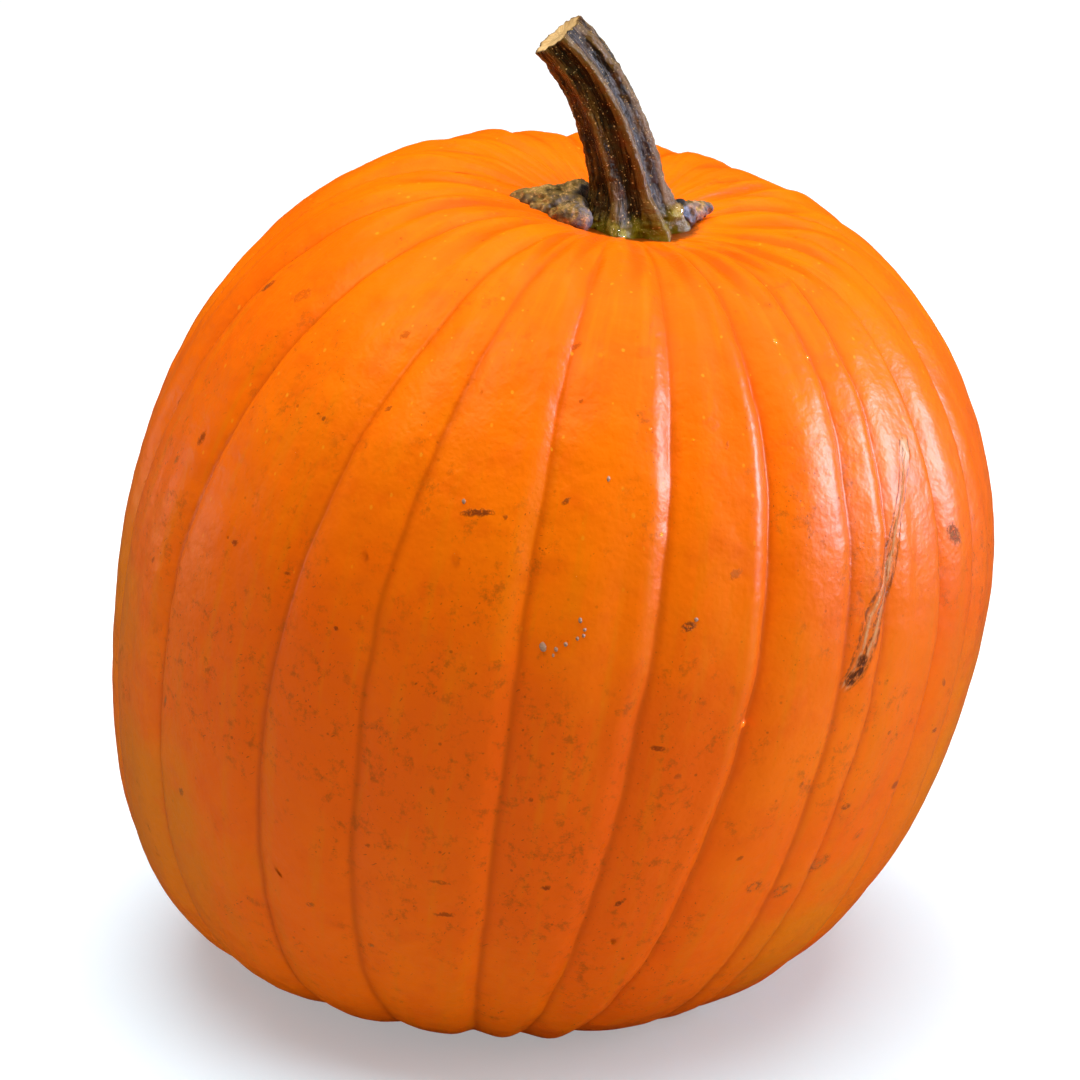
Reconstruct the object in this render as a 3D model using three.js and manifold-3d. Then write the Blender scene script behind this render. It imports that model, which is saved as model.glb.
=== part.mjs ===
// A ripe field pumpkin, standing on the small flat spot worn and pressed into its base.
// Millimetres, +Z up. The front faces -Y. The fruit leans a little towards +X and its crown is
// lopsided. A curved, ridged stem grows from the hollow of the crown, and dried scraps of the
// flower's leaves lie around its foot.
import * as THREE from 'three';
import { mergeVertices } from 'three/addons/utils/BufferGeometryUtils.js';
import Module from 'manifold-3d';

// Driving dimensions of the fruit.
const halfWidth = 145;
const height = 2.013 * halfWidth;
const widestLevel = 0.525 * height;
const depthToWidth = 0.989;
// Powers that round the shoulder and the base: 1 is a ball, less is boxier.
const shoulderPower = 0.823;
const basePower = 0.476;
const baseDepthPower = 1.04;
const leanDegrees = 3.6;
const sidewaysShear = 0.109;
const crownHollow = { depth: 0.1545 * halfWidth, radius: 0.358 * halfWidth };
const blossomDimple = { depth: 0.1 * halfWidth, radius: 0.25 * halfWidth };
// The flat spot is where the base is pressed up to this level above the lowest point of a round base.
const restLevel = 7.2;

// Broad bulges and hollows of the lopsided fruit: share of the radius, centred on these places.
const bulgeSpreadDegrees = 38;
const bulges = [
  { azimuth: -90, latitude: 50, height: 0.056 },
  { azimuth: -90, latitude: 5, height: -0.055 },
  { azimuth: -90, latitude: -45, height: 0.048 },
  { azimuth: 90, latitude: 50, height: -0.114 },
  { azimuth: 90, latitude: 5, height: 0.02 },
  { azimuth: 90, latitude: -45, height: 0.015 },
  { azimuth: 0, latitude: -62, height: -0.061 },
  { azimuth: 180, latitude: 55, height: 0.012 },
  { azimuth: 160, latitude: 66, height: 0.008 },
];

// The grooves between the ribs, in order round the fruit. The azimuths, in degrees from the front
// towards +X, are at the crown, the middle and the base, because no groove runs straight.
const grooves = [
  { crown: -97, middle: -90, base: -90, depth: 3.2 },
  { crown: -72, middle: -79.5, base: -78, depth: 2.6 },
  { crown: -51, middle: -60.5, base: -59, depth: 3.6 },
  { crown: -29, middle: -38, base: -38, depth: 2.4 },
  { crown: -20, middle: -25, base: -22, depth: 1.8 },
  { crown: -8.7, middle: -6.7, base: -4, depth: 3.6 },
  { crown: 8.3, middle: 9.6, base: 8, depth: 3.2 },
  { crown: 22.5, middle: 24.3, base: 19.5, depth: 4.4 },
  { crown: 38, middle: 37, base: 36, depth: 2.2 },
  { crown: 48, middle: 43.2, base: 42.5, depth: 1.8 },
  { crown: 61, middle: 56.7, base: 57.5, depth: 4 },
  { crown: 83, middle: 67, base: 69, depth: 2.8 },
  { crown: 106, middle: 84, base: 83, depth: 3.4 },
  { crown: 122, middle: 101, base: 99, depth: 2.6 },
  { crown: 137, middle: 119, base: 117, depth: 3.8 },
  { crown: 151, middle: 137, base: 135, depth: 2.4 },
  { crown: 166, middle: 154, base: 152, depth: 3.4 },
  { crown: 181, middle: 172, base: 172, depth: 2.8 },
  { crown: 195, middle: 190, base: 191, depth: 3.8 },
  { crown: 209, middle: 210, base: 211, depth: 2.6 },
  { crown: 223, middle: 231, base: 232, depth: 3.6 },
  { crown: 242, middle: 252, base: 253, depth: 3 },
];
const crownLatitude = 68;
const middleLatitude = 5;
const baseLatitude = -50;
// Past these latitudes a groove keeps its azimuth.
const straightAbove = 76;
const straightBelow = -62;
const grooveSharpness = 1.6;
// Grooves are deeper by this share at the crown, and die out where the ribs run together at the poles.
const crownGroove = { gain: 0.5, from: 30, to: 70 };
const grooveFade = { from: 0.1, to: 0.42 };

// How finely the skin is divided: places across one rib, and rows from the blossom end to the stem.
const ribStations = [0, 0.12, 0.37, 0.63, 0.88];
const rowLatitudes = [
  -89.3, -88, -86, -83.5, -80.5, -77, -73, -68, -62, -55, -47, -38, -29, -19, -9, 1,
  11, 20, 29, 37, 44, 51, 57, 62.5, 67.5, 72, 76, 79.5, 82.5, 85, 87.5,
];

// The stem: its middle line in the XZ plane with a radius at each point, from inside the hollow up.
const stemStations = [
  { x: 31.2, z: 252, radius: 19 },
  { x: 31.2, z: 261, radius: 18.6 },
  { x: 30.9, z: 266, radius: 16.8 },
  { x: 30.4, z: 271.5, radius: 14.2 },
  { x: 29.4, z: 279, radius: 12.6 },
  { x: 27.6, z: 290, radius: 11.9 },
  { x: 24.6, z: 301, radius: 11.1 },
  { x: 20.4, z: 311.5, radius: 10.1 },
  { x: 14.8, z: 320.5, radius: 9.5 },
  { x: 8.2, z: 328.4, radius: 9.7 },
];
// Ridges along the stem, in degrees round it from the front towards +X.
const stemRidges = [-78, -32, 20, 68, 122, 176, 232];
// Depth of the grooves between the ridges, a share of the radius, at the foot and above it.
const stemGrooveDepth = 0.2;
const stemFootGrooveDepth = 0.3;
const footStations = { from: 2, to: 4 };
const stemRowsPerStation = 2;
const stemRidgeStations = [0, 0.2, 0.4, 0.6, 0.8];

// Lumps of dried leaf in the hollow: centre, half-lengths, turn about +Z and how uneven each is.
const scraps = [
  {
    name: 'dried_scrap_left',
    centre: [6.5, -5.5, 274.4],
    half: [12.5, 5.5, 4.6],
    turn: -14,
    lobes: 4,
    unevenness: 0.2,
  },
  {
    name: 'dried_scrap_left_low',
    centre: [12.6, -17.2, 272.7],
    half: [5.6, 5, 4.2],
    turn: 25,
    lobes: 3,
    unevenness: 0.14,
  },
  {
    name: 'dried_scrap_back',
    centre: [12.8, 10.5, 273],
    half: [5, 4, 3.4],
    turn: 60,
    lobes: 3,
    unevenness: 0.18,
  },
  {
    name: 'dried_scrap_right',
    centre: [51.4, 7.4, 267.6],
    half: [4.6, 3.2, 3],
    turn: 30,
    lobes: 3,
    unevenness: 0.16,
  },
];
const scrapDetail = 4;
// A second, finer unevenness of a lump: its strength next to the lobes' and its waves along X and Z.
const scrapRipple = { share: 0.5, wavesX: 5, wavesZ: 3 };

// Pieces that touch keep this gap.
const gap = 0.35;

const finishes = {
  rind: { color: 0xd9690f, roughness: 0.38, metalness: 0 },
  stem: { color: 0x4b3d22, roughness: 0.5, metalness: 0 },
  scrap: { color: 0x7a5a2c, roughness: 0.8, metalness: 0 },
};

const wasm = await Module();
wasm.setup();

const radians = THREE.MathUtils.degToRad;

// Azimuth of a groove at a latitude: a parabola through its three places.
function grooveAzimuth(groove, latitude) {
  const at = THREE.MathUtils.clamp(latitude, straightBelow, straightAbove);
  const toCrown = (at - middleLatitude) / (crownLatitude - middleLatitude);
  const toBase = (at - middleLatitude) / (baseLatitude - middleLatitude);
  const span = crownLatitude - baseLatitude;
  const crownShare = toCrown * (at - baseLatitude) / span;
  const baseShare = toBase * (crownLatitude - at) / span;
  return groove.crown * crownShare + groove.base * baseShare + groove.middle * (1 - crownShare - baseShare);
}

// Share of the radius that the broad bulges add.
function bulgeAt(azimuth, latitude) {
  const spread = radians(bulgeSpreadDegrees) ** 2;
  let sum = 0;
  for (const bulge of bulges) {
    const closeness = Math.cos(latitude) * Math.cos(radians(bulge.latitude))
        * Math.cos(azimuth - radians(bulge.azimuth))
      + Math.sin(latitude) * Math.sin(radians(bulge.latitude));
    sum += bulge.height * Math.exp((closeness - 1) / spread);
  }
  return sum;
}

// A round hollow's depth at a distance from its middle.
function hollowDepth(hollow, radius) {
  return hollow.depth * Math.exp(-((radius / hollow.radius) ** 2));
}

// Distance from the fruit's own axis, and height above its widest level. Swell makes both larger.
function skinProfile(latitude, swell) {
  const upper = latitude > 0;
  const power = upper ? shoulderPower : basePower;
  const depthPower = upper ? 1 : baseDepthPower;
  const reach = upper ? height - widestLevel : widestLevel;
  const radius = halfWidth * Math.cos(latitude) ** power * swell;
  const level = Math.sign(latitude) * Math.abs(Math.sin(latitude)) ** depthPower * reach * swell;
  const sunk = upper ? hollowDepth(crownHollow, radius) : -hollowDepth(blossomDimple, radius);
  return { radius, level: level - sunk };
}

// A point of the skin. Inward is how far the skin lies below the crest of its rib.
function skinPoint(azimuthDegrees, latitudeDegrees, inward) {
  const azimuth = radians(azimuthDegrees);
  const latitude = radians(latitudeDegrees);
  const swell = 1 + bulgeAt(azimuth, latitude) - inward / halfWidth;
  const { radius, level } = skinProfile(latitude, swell);
  const x = radius * Math.sin(azimuth) + sidewaysShear * level;
  const y = -radius * Math.cos(azimuth) * depthToWidth;
  const z = level + widestLevel;
  const lean = radians(leanDegrees);
  return new THREE.Vector3(
    x * Math.cos(lean) + z * Math.sin(lean),
    y,
    z * Math.cos(lean) - x * Math.sin(lean),
  );
}

// How deep the skin lies between two grooves, a share of the way across the rib.
function grooveInward(before, after, share, latitude) {
  const shape = (1 - Math.sin(Math.PI * share)) ** grooveSharpness;
  const depth = THREE.MathUtils.lerp(before.depth, after.depth, share);
  const ring = Math.cos(radians(latitude));
  const fade = THREE.MathUtils.smoothstep(ring, grooveFade.from, grooveFade.to);
  const gain = 1 + crownGroove.gain * THREE.MathUtils.smoothstep(latitude, crownGroove.from, crownGroove.to);
  return depth * shape * fade * gain;
}

// One row of the skin, all the way round.
function skinRow(latitude) {
  const row = [];
  grooves.forEach((before, index) => {
    const after = grooves[(index + 1) % grooves.length];
    const start = grooveAzimuth(before, latitude);
    const turn = index === grooves.length - 1 ? 360 : 0;
    const end = grooveAzimuth(after, latitude) + turn;
    for (const share of ribStations) {
      const azimuth = THREE.MathUtils.lerp(start, end, share);
      row.push(skinPoint(azimuth, latitude, grooveInward(before, after, share, latitude)));
    }
  });
  return row;
}

// The triangles between a ring of points and the next ring.
function bandTriangles(start, columns) {
  const triangles = [];
  for (let column = 0; column < columns; column += 1) {
    const next = (column + 1) % columns;
    const a = start + column;
    const b = start + next;
    const c = b + columns;
    const d = a + columns;
    triangles.push(a, b, c, a, c, d);
  }
  return triangles;
}

// A closed solid from rows of points, each row a ring, with one point closing each end.
function solidFromRows(rows, firstPole, lastPole) {
  const columns = rows[0].length;
  const points = [...rows.flat(), firstPole, lastPole];
  const firstIndex = points.length - 2;
  const lastIndex = points.length - 1;
  const topStart = (rows.length - 1) * columns;
  const triangles = [];
  for (let start = 0; start < topStart; start += columns) {
    triangles.push(...bandTriangles(start, columns));
  }
  for (let column = 0; column < columns; column += 1) {
    const next = (column + 1) % columns;
    triangles.push(firstIndex, next, column);
    triangles.push(lastIndex, topStart + column, topStart + next);
  }
  const geometry = new THREE.BufferGeometry();
  geometry.setAttribute('position', new THREE.Float32BufferAttribute(points.flatMap((p) => p.toArray()), 3));
  geometry.setIndex(triangles);
  return geometry;
}

// The fruit: ribbed skin from the blossom end to the crown, pressed flat where it rests.
function fruitGeometry(lift = 0) {
  const rows = rowLatitudes.map(skinRow);
  const blossomEnd = skinPoint(0, -90, 0);
  const stemEnd = skinPoint(0, 90, 0);
  for (const point of rows.flat()) {
    point.z = Math.max(point.z, restLevel) + lift;
  }
  blossomEnd.z = Math.max(blossomEnd.z, restLevel) + lift;
  stemEnd.z += lift;
  return solidFromRows(rows, blossomEnd, stemEnd);
}

// Radius of the stem's section between two ridges: full on each ridge, less in the groove.
function ridgeShape(share) {
  return 0.5 + 0.5 * Math.cos(2 * Math.PI * share);
}

// The stem's radius and the depth of its grooves at a place between two stations.
function stemSize(station) {
  const below = Math.min(Math.floor(station), stemStations.length - 2);
  const part = station - below;
  const footShare = 1 - THREE.MathUtils.smoothstep(station, footStations.from, footStations.to);
  return {
    radius: THREE.MathUtils.lerp(stemStations[below].radius, stemStations[below + 1].radius, part),
    grooveDepth: THREE.MathUtils.lerp(stemGrooveDepth, stemFootGrooveDepth, footShare),
  };
}

// One ring of the stem, square to its middle line.
function stemRow(centre, along, size, clearance) {
  const across = new THREE.Vector3(along.z, 0, -along.x);
  const row = [];
  stemRidges.forEach((ridge, index) => {
    const turn = index === stemRidges.length - 1 ? 360 : 0;
    const nextRidge = stemRidges[(index + 1) % stemRidges.length] + turn;
    for (const share of stemRidgeStations) {
      const angle = radians(THREE.MathUtils.lerp(ridge, nextRidge, share));
      const reach = size.radius * (1 - size.grooveDepth * (1 - ridgeShape(share))) + clearance;
      const point = centre.clone().addScaledVector(across, reach * Math.sin(angle));
      point.y -= reach * Math.cos(angle);
      row.push(point);
    }
  });
  return row;
}

// The stem: a ridged section swept along its curved middle line, wider at the foot and cut square
// across the top. Clearance makes it fatter, to cut room for it in a neighbour.
function stemGeometry(clearance = 0) {
  const middle = new THREE.CatmullRomCurve3(stemStations.map((s) => new THREE.Vector3(s.x, 0, s.z)));
  const last = stemStations.length - 1;
  const rows = [];
  for (let step = 0; step <= last * stemRowsPerStation; step += 1) {
    const station = step / stemRowsPerStation;
    const centre = middle.getPoint(station / last);
    const along = middle.getTangent(station / last);
    rows.push(stemRow(centre, along, stemSize(station), clearance));
  }
  return solidFromRows(rows, middle.getPoint(0), middle.getPoint(1));
}

// How much larger a lump is at a point of the ball it grows from.
function scrapSwell(scrap, point) {
  const around = Math.atan2(point.y, point.x);
  const flat = 1 - point.z * point.z;
  const lobe = flat * Math.sin(scrap.lobes * around + scrap.turn);
  const ripple = Math.sin(scrapRipple.wavesX * point.x + scrapRipple.wavesZ * point.z);
  return 1 + scrap.unevenness * (lobe + scrapRipple.share * ripple);
}

// A scrap of dried leaf: a flattened, lobed lump.
function scrapGeometry(scrap) {
  const geometry = new THREE.IcosahedronGeometry(1, scrapDetail);
  const position = geometry.getAttribute('position');
  const half = new THREE.Vector3(...scrap.half);
  const centre = new THREE.Vector3(...scrap.centre);
  const up = new THREE.Vector3(0, 0, 1);
  const point = new THREE.Vector3();
  for (let index = 0; index < position.count; index += 1) {
    point.fromBufferAttribute(position, index);
    point.multiplyScalar(scrapSwell(scrap, point)).multiply(half);
    point.applyAxisAngle(up, radians(scrap.turn)).add(centre);
    position.setXYZ(index, point.x, point.y, point.z);
  }
  return geometry;
}

// A geometry as a manifold solid, and back.
function toManifold(geometry) {
  const bare = geometry.clone();
  bare.deleteAttribute('normal');
  bare.deleteAttribute('uv');
  const merged = mergeVertices(bare);
  return new wasm.Manifold(new wasm.Mesh({
    numProp: 3,
    vertProperties: new Float32Array(merged.getAttribute('position').array),
    triVerts: new Uint32Array(merged.getIndex().array),
  }));
}

function toGeometry(solid) {
  const mesh = solid.getMesh();
  const geometry = new THREE.BufferGeometry();
  geometry.setAttribute('position', new THREE.BufferAttribute(mesh.vertProperties, 3));
  geometry.setIndex(new THREE.BufferAttribute(mesh.triVerts, 1));
  return geometry;
}

function namedMesh(name, geometry, finish) {
  geometry.computeVertexNormals();
  const mesh = new THREE.Mesh(geometry, new THREE.MeshStandardMaterial(finish));
  mesh.name = name;
  return mesh;
}

const pumpkin = new THREE.Group();

const raisedFruit = toManifold(fruitGeometry(gap));
const stemSolid = toManifold(stemGeometry()).subtract(raisedFruit);
pumpkin.add(namedMesh('fruit', fruitGeometry(), finishes.rind));
pumpkin.add(namedMesh('stem', toGeometry(stemSolid), finishes.stem));

let taken = raisedFruit.add(toManifold(stemGeometry(gap)));
for (const scrap of scraps) {
  const solid = toManifold(scrapGeometry(scrap)).subtract(taken);
  taken = taken.add(solid);
  pumpkin.add(namedMesh(scrap.name, toGeometry(solid), finishes.scrap));
}

// The origin is the middle of the whole pumpkin's outline, on the surface it rests on.
const outline = new THREE.Box3().setFromObject(pumpkin);
const middle = outline.getCenter(new THREE.Vector3());
pumpkin.position.set(-middle.x, -middle.y, -outline.min.z);

export default pumpkin;
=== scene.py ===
import math

import bpy
from mathutils import Euler, Matrix, Vector, noise
from mathutils.bvhtree import BVHTree
from mathutils.kdtree import KDTree


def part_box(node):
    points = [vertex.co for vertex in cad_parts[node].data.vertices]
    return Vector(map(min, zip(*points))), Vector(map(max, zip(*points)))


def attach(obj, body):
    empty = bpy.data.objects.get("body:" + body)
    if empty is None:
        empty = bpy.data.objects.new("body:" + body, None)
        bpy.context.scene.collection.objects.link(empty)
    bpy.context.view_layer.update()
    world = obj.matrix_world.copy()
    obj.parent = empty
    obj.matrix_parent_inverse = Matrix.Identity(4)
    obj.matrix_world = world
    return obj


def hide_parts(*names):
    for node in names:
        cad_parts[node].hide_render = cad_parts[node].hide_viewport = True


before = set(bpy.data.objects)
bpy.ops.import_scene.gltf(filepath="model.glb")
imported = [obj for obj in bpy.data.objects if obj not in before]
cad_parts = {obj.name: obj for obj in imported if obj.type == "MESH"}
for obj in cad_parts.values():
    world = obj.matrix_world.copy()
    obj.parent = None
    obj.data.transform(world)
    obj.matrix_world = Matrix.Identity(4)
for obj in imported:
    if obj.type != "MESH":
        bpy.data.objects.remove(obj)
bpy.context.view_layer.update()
mm = 0.001  # the rules below are written in millimetres
fullTurn = 2 * math.pi


class Field:
    # one value on its way through a node tree
    def __init__(self, tree, socket):
        self.tree = tree
        self.socket = socket

    def __add__(self, other):
        return calculate(self.tree, "ADD", self, other)

    def __sub__(self, other):
        return calculate(self.tree, "SUBTRACT", self, other)

    def __rsub__(self, other):
        return calculate(self.tree, "SUBTRACT", other, self)

    def __mul__(self, other):
        return calculate(self.tree, "MULTIPLY", self, other)

    def __truediv__(self, other):
        return calculate(self.tree, "DIVIDE", self, other)

    def __rtruediv__(self, other):
        return calculate(self.tree, "DIVIDE", other, self)

    def __pow__(self, other):
        return calculate(self.tree, "POWER", self, other)

    __radd__ = __add__
    __rmul__ = __mul__


def feed(tree, socket, value):
    # a field is linked, anything else is set
    if isinstance(value, Field):
        tree.links.new(value.socket, socket)
    elif value is not None:
        socket.default_value = value


def addNode(tree, kind, inputs=None, **settings):
    node = tree.nodes.new(kind)
    for name, value in settings.items():
        setattr(node, name, value)
    for name, value in (inputs or {}).items():
        feed(tree, node.inputs[name], value)
    return node


def calculate(tree, operation, first, second=None, third=None, clamp=False):
    node = addNode(tree, "ShaderNodeMath", operation=operation, use_clamp=clamp)
    for socket, value in zip(node.inputs, (first, second, third)):
        feed(tree, socket, value)
    return Field(tree, node.outputs[0])


def sine(x):
    return calculate(x.tree, "SINE", x)


def cosine(x):
    return calculate(x.tree, "COSINE", x)


def exponential(x):
    return calculate(x.tree, "EXPONENT", x)


def absolute(x):
    return calculate(x.tree, "ABSOLUTE", x)


def smaller(x, y):
    return calculate(x.tree, "MINIMUM", x, y)


def larger(x, y):
    return calculate(x.tree, "MAXIMUM", x, y)


def bell(x):
    # 1 at nought, falling away on both sides
    return exponential(x * x * -1.0)


def smoothStep(x, low, high):
    node = addNode(x.tree, "ShaderNodeMapRange", interpolation_type="SMOOTHSTEP")
    for socket, value in zip(node.inputs, (x, low, high, 0.0, 1.0)):
        feed(x.tree, socket, value)
    return Field(x.tree, node.outputs[0])


def mixed(low, high, share):
    return low + (high - low) * share


def vectorOf(tree, x, y, z):
    node = addNode(tree, "ShaderNodeCombineXYZ")
    for socket, value in zip(node.inputs, (x, y, z)):
        feed(tree, socket, value)
    return Field(tree, node.outputs[0])


def partsOf(vector):
    node = addNode(vector.tree, "ShaderNodeSeparateXYZ")
    feed(vector.tree, node.inputs[0], vector)
    return [Field(vector.tree, output) for output in node.outputs]


def vectorMath(tree, operation, first, second=None, output=0):
    node = addNode(tree, "ShaderNodeVectorMath", operation=operation)
    feed(tree, node.inputs[0], first)
    if operation == "SCALE":
        feed(tree, node.inputs["Scale"], second)
    else:
        feed(tree, node.inputs[1], second)
    return Field(tree, node.outputs[output])


def noiseAt(vector, scale, detail=2.0, roughness=0.5, distortion=0.0):
    # about 0.5 on average, from 0 to 1
    node = addNode(vector.tree, "ShaderNodeTexNoise", {
        "Vector": vector, "Scale": scale, "Detail": detail, "Roughness": roughness,
        "Distortion": distortion})
    return Field(vector.tree, node.outputs[0])


def newGeometryTree(name, inputs):
    tree = bpy.data.node_groups.new(name, "GeometryNodeTree")
    tree.interface.new_socket("Geometry", in_out="OUTPUT", socket_type="NodeSocketGeometry")
    tree.interface.new_socket("Geometry", in_out="INPUT", socket_type="NodeSocketGeometry")
    for label, (kind, value) in inputs.items():
        socket = tree.interface.new_socket(label, in_out="INPUT", socket_type=kind)
        if value is not None and kind != "NodeSocketMaterial":
            socket.default_value = value
    start = tree.nodes.new("NodeGroupInput")
    end = tree.nodes.new("NodeGroupOutput")
    fields = {socket.name: Field(tree, socket) for socket in start.outputs if socket.name}
    return tree, fields, end


def storeAttribute(tree, geometry, name, value, kind="FLOAT"):
    node = addNode(tree, "GeometryNodeStoreNamedAttribute", {"Geometry": geometry, "Name": name},
                   data_type=kind, domain="POINT")
    feed(tree, node.inputs["Value"], value)
    return Field(tree, node.outputs[0])


def moveTo(tree, geometry, position=None, offset=None):
    node = addNode(tree, "GeometryNodeSetPosition", {"Geometry": geometry, "Position": position,
                                                     "Offset": offset})
    return Field(tree, node.outputs[0])


def finishTree(tree, end, geometry, material):
    # what every tree ends in
    realised = addNode(tree, "GeometryNodeRealizeInstances", {"Geometry": geometry})
    painted = addNode(tree, "GeometryNodeSetMaterial", {
        "Geometry": Field(tree, realised.outputs[0]), "Material": material})
    tree.links.new(painted.outputs[0], end.inputs[0])


def grownMesh(name, source, tree, values):
    # runs a tree on a source object and keeps the result as a plain mesh
    modifier = source.modifiers.new(tree.name, "NODES")
    modifier.node_group = tree
    for item in tree.interface.items_tree:
        if item.in_out == "INPUT" and item.name in values:
            modifier[item.identifier] = values[item.name]
    graph = bpy.context.evaluated_depsgraph_get()
    mesh = bpy.data.meshes.new_from_object(source.evaluated_get(graph), depsgraph=graph)
    source.modifiers.remove(modifier)
    bpy.data.objects.remove(source)
    mesh.name = name
    piece = bpy.data.objects.new(name, mesh)
    bpy.context.scene.collection.objects.link(piece)
    return piece


def tableObject(name, rows, columns):
    # a mesh with one point for each row and an attribute for each column of three numbers
    mesh = bpy.data.meshes.new(name)
    mesh.from_pydata([(0, 0, 0)] * len(rows), [], [])
    for column in columns:
        attribute = mesh.attributes.new(column, "FLOAT_VECTOR", "POINT")
        attribute.data.foreach_set("vector", [x for row in rows for x in row[column]])
    table = bpy.data.objects.new(name, mesh)
    bpy.context.scene.collection.objects.link(table)
    return table


skin = {
    "halfWidth": 146.8,
    "height": 292.6,
    "widestLevel": 154.5,
    "depthToWidth": 0.989,
    "shoulderPower": 0.823,
    "basePower": 0.476,
    "baseDepthPower": 1.04,
    "leanDegrees": 3.6,
    "shear": 0.109,
    "hollowDepth": 24.6,
    "hollowRadius": 51.9,
    "dimpleDepth": 14.5,
    "dimpleRadius": 36.2,
    "restLevel": 7.2,
    "columnsPerRib": 18,
    "rows": 232,
    "crowding": 0.45,  # how much closer the columns stand at a groove
    "archShare": 0.022,  # how far a rib bulges, a share of its width
    "waves": 0.95,  # height of the broad uneven places
    "dents": 0.42,  # height of the small ones
    "wander": 0.9,  # how far a groove strays from its line, in degrees
    "patchiness": 0.9,  # how much a groove's depth changes along it
    "crownPleats": 2.0,
    "bulgeSpread": 38.0,
    "baseRowCrowding": 1.45,  # how the rows gather at the base and at the crown
    "crownRowCrowding": 1.1,
    "crownAt": 68.0,  # the latitudes that a groove's three places and depths are for
    "middleAt": 5.0,
    "baseAt": -50.0,
    "wanderScale": 3.4,
    "patchScale": 2.6,
    "waveScale": 26.0,
    "dentScale": 95.0,
    "pleatScale": 13.0,
    "weldDistance": 0.02,
    "pressSoftness": 1.5,  # how gently the base turns into the flat it rests on
}
# azimuth, latitude and share of the radius of the lopsided fruit's broad swellings
skinBulges = [
    (-90, 50, 0.056), (-90, 5, -0.055), (-90, -45, 0.054), (90, 50, -0.114), (90, 5, 0.02),
    (90, -45, 0.015), (0, -62, -0.061), (180, 55, 0.012), (160, 66, 0.018),
]
# The grooves in order round the fruit: their azimuths and depths at the crown, the middle and the base,
# then how wide the crease is on its first side and its second, and how proud the lip stands before it.
skinGrooves = [
    {"places": (-97, -90, -90), "depths": (2.2, 2.2, 1.5), "form": (3.0, 3.6, 0.2)},
    {"places": (-72, -79.5, -78), "depths": (2.0, 2.2, 1.6), "form": (3.4, 2.6, 0.0)},
    {"places": (-51, -60.5, -59), "depths": (2.2, 2.5, 1.8), "form": (4.4, 2.2, 0.0)},
    {"places": (-29, -38, -38), "depths": (1.7, 1.0, 1.4), "form": (3.6, 4.0, 0.0)},
    {"places": (-20, -25, -22), "depths": (1.2, 0.7, 1.2), "form": (3.6, 4.4, 0.0)},
    {"places": (-8.7, -6.7, -4), "depths": (2.2, 3.0, 2.0), "form": (2.8, 6.4, 0.3)},
    {"places": (8.3, 9.6, 8), "depths": (2.8, 2.4, 1.7), "form": (2.6, 5.6, 0.3)},
    {"places": (22.5, 24.3, 19.5), "depths": (3.0, 3.8, 2.2), "form": (2.4, 5.8, 0.8)},
    {"places": (38, 37, 36), "depths": (1.8, 1.6, 1.4), "form": (2.2, 4.6, 0.3)},
    {"places": (48, 43.2, 42.5), "depths": (2.2, 1.4, 1.4), "form": (2.0, 4.0, 0.3)},
    {"places": (61, 56.7, 57.5), "depths": (3.0, 3.4, 2.4), "form": (2.2, 5.0, 0.7)},
    {"places": (83, 67, 69), "depths": (2.6, 1.8, 1.8), "form": (2.6, 4.4, 0.3)},
    {"places": (106, 84, 83), "depths": (2.2, 2.6, 2.0), "form": (2.8, 4.0, 0.3)},
    {"places": (122, 101, 99), "depths": (1.6, 1.6, 1.6), "form": (3.0, 3.6, 0.1)},
    {"places": (137, 119, 117), "depths": (1.3, 2.5, 2.1), "form": (2.8, 4.4, 0.5)},
    {"places": (151, 137, 135), "depths": (0.8, 1.4, 1.6), "form": (3.4, 3.2, 0.1)},
    {"places": (166, 154, 152), "depths": (1.1, 2.4, 2.0), "form": (2.6, 4.2, 0.4)},
    {"places": (181, 172, 172), "depths": (0.9, 1.8, 1.7), "form": (3.2, 3.8, 0.1)},
    {"places": (195, 190, 191), "depths": (1.2, 2.7, 2.2), "form": (2.6, 5.0, 0.6)},
    {"places": (209, 210, 211), "depths": (0.8, 1.6, 1.7), "form": (3.2, 3.6, 0.1)},
    {"places": (223, 231, 232), "depths": (1.2, 2.6, 2.0), "form": (2.8, 4.4, 0.4)},
    {"places": (242, 252, 253), "depths": (1.2, 2.0, 1.8), "form": (3.2, 3.4, 0.1)},
]
# shorter folds that don't run the whole way: azimuth, latitude, half-length in degrees, depth and width
skinFolds = [
    (17, 56, 20, 1.0, 3.6), (4.5, 10, 17, 1.1, 3.4), (-48, 24, 24, 0.8, 5.0), (-14, 44, 18, 0.9, 5.0),
    (-41, 58, 14, 1.0, 4.0), (0.5, 64, 10, 0.9, 2.8), (31, 58, 14, 0.8, 3.2), (50, 8, 22, 0.9, 3.6),
    (70, 60, 14, 0.8, 3.0), (-86, 44, 22, 1.2, 3.4), (76, 12, 24, 1.0, 3.4), (-70, 4, 26, 0.8, 3.2),
    (145, 20, 22, 1.0, 4.4), (198, -8, 24, 1.1, 4.0), (241, 22, 20, 0.9, 4.2), (-84, 72, 8, 1.9, 2.2),
    (-62, 70, 10, 2.0, 2.4), (-40, 73, 8, 1.9, 2.0), (-24, 71, 9, 1.5, 2.0), (-14, 73, 9, 1.7, 1.8),
    (3, 72, 9, 1.6, 1.8), (15, 74, 8, 1.9, 1.8), (30, 72, 9, 1.8, 2.0), (43, 73, 8, 1.9, 2.0),
    (55, 70, 10, 2.1, 2.2), (72, 72, 9, 2.1, 2.2), (94, 71, 10, 2.1, 2.4), (-110, 74, 8, 1.9, 2.2),
    (-128, 72, 9, 1.8, 2.2), (112, 73, 8, 1.8, 2.2), (130, 71, 9, 1.6, 2.2),
]


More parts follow.
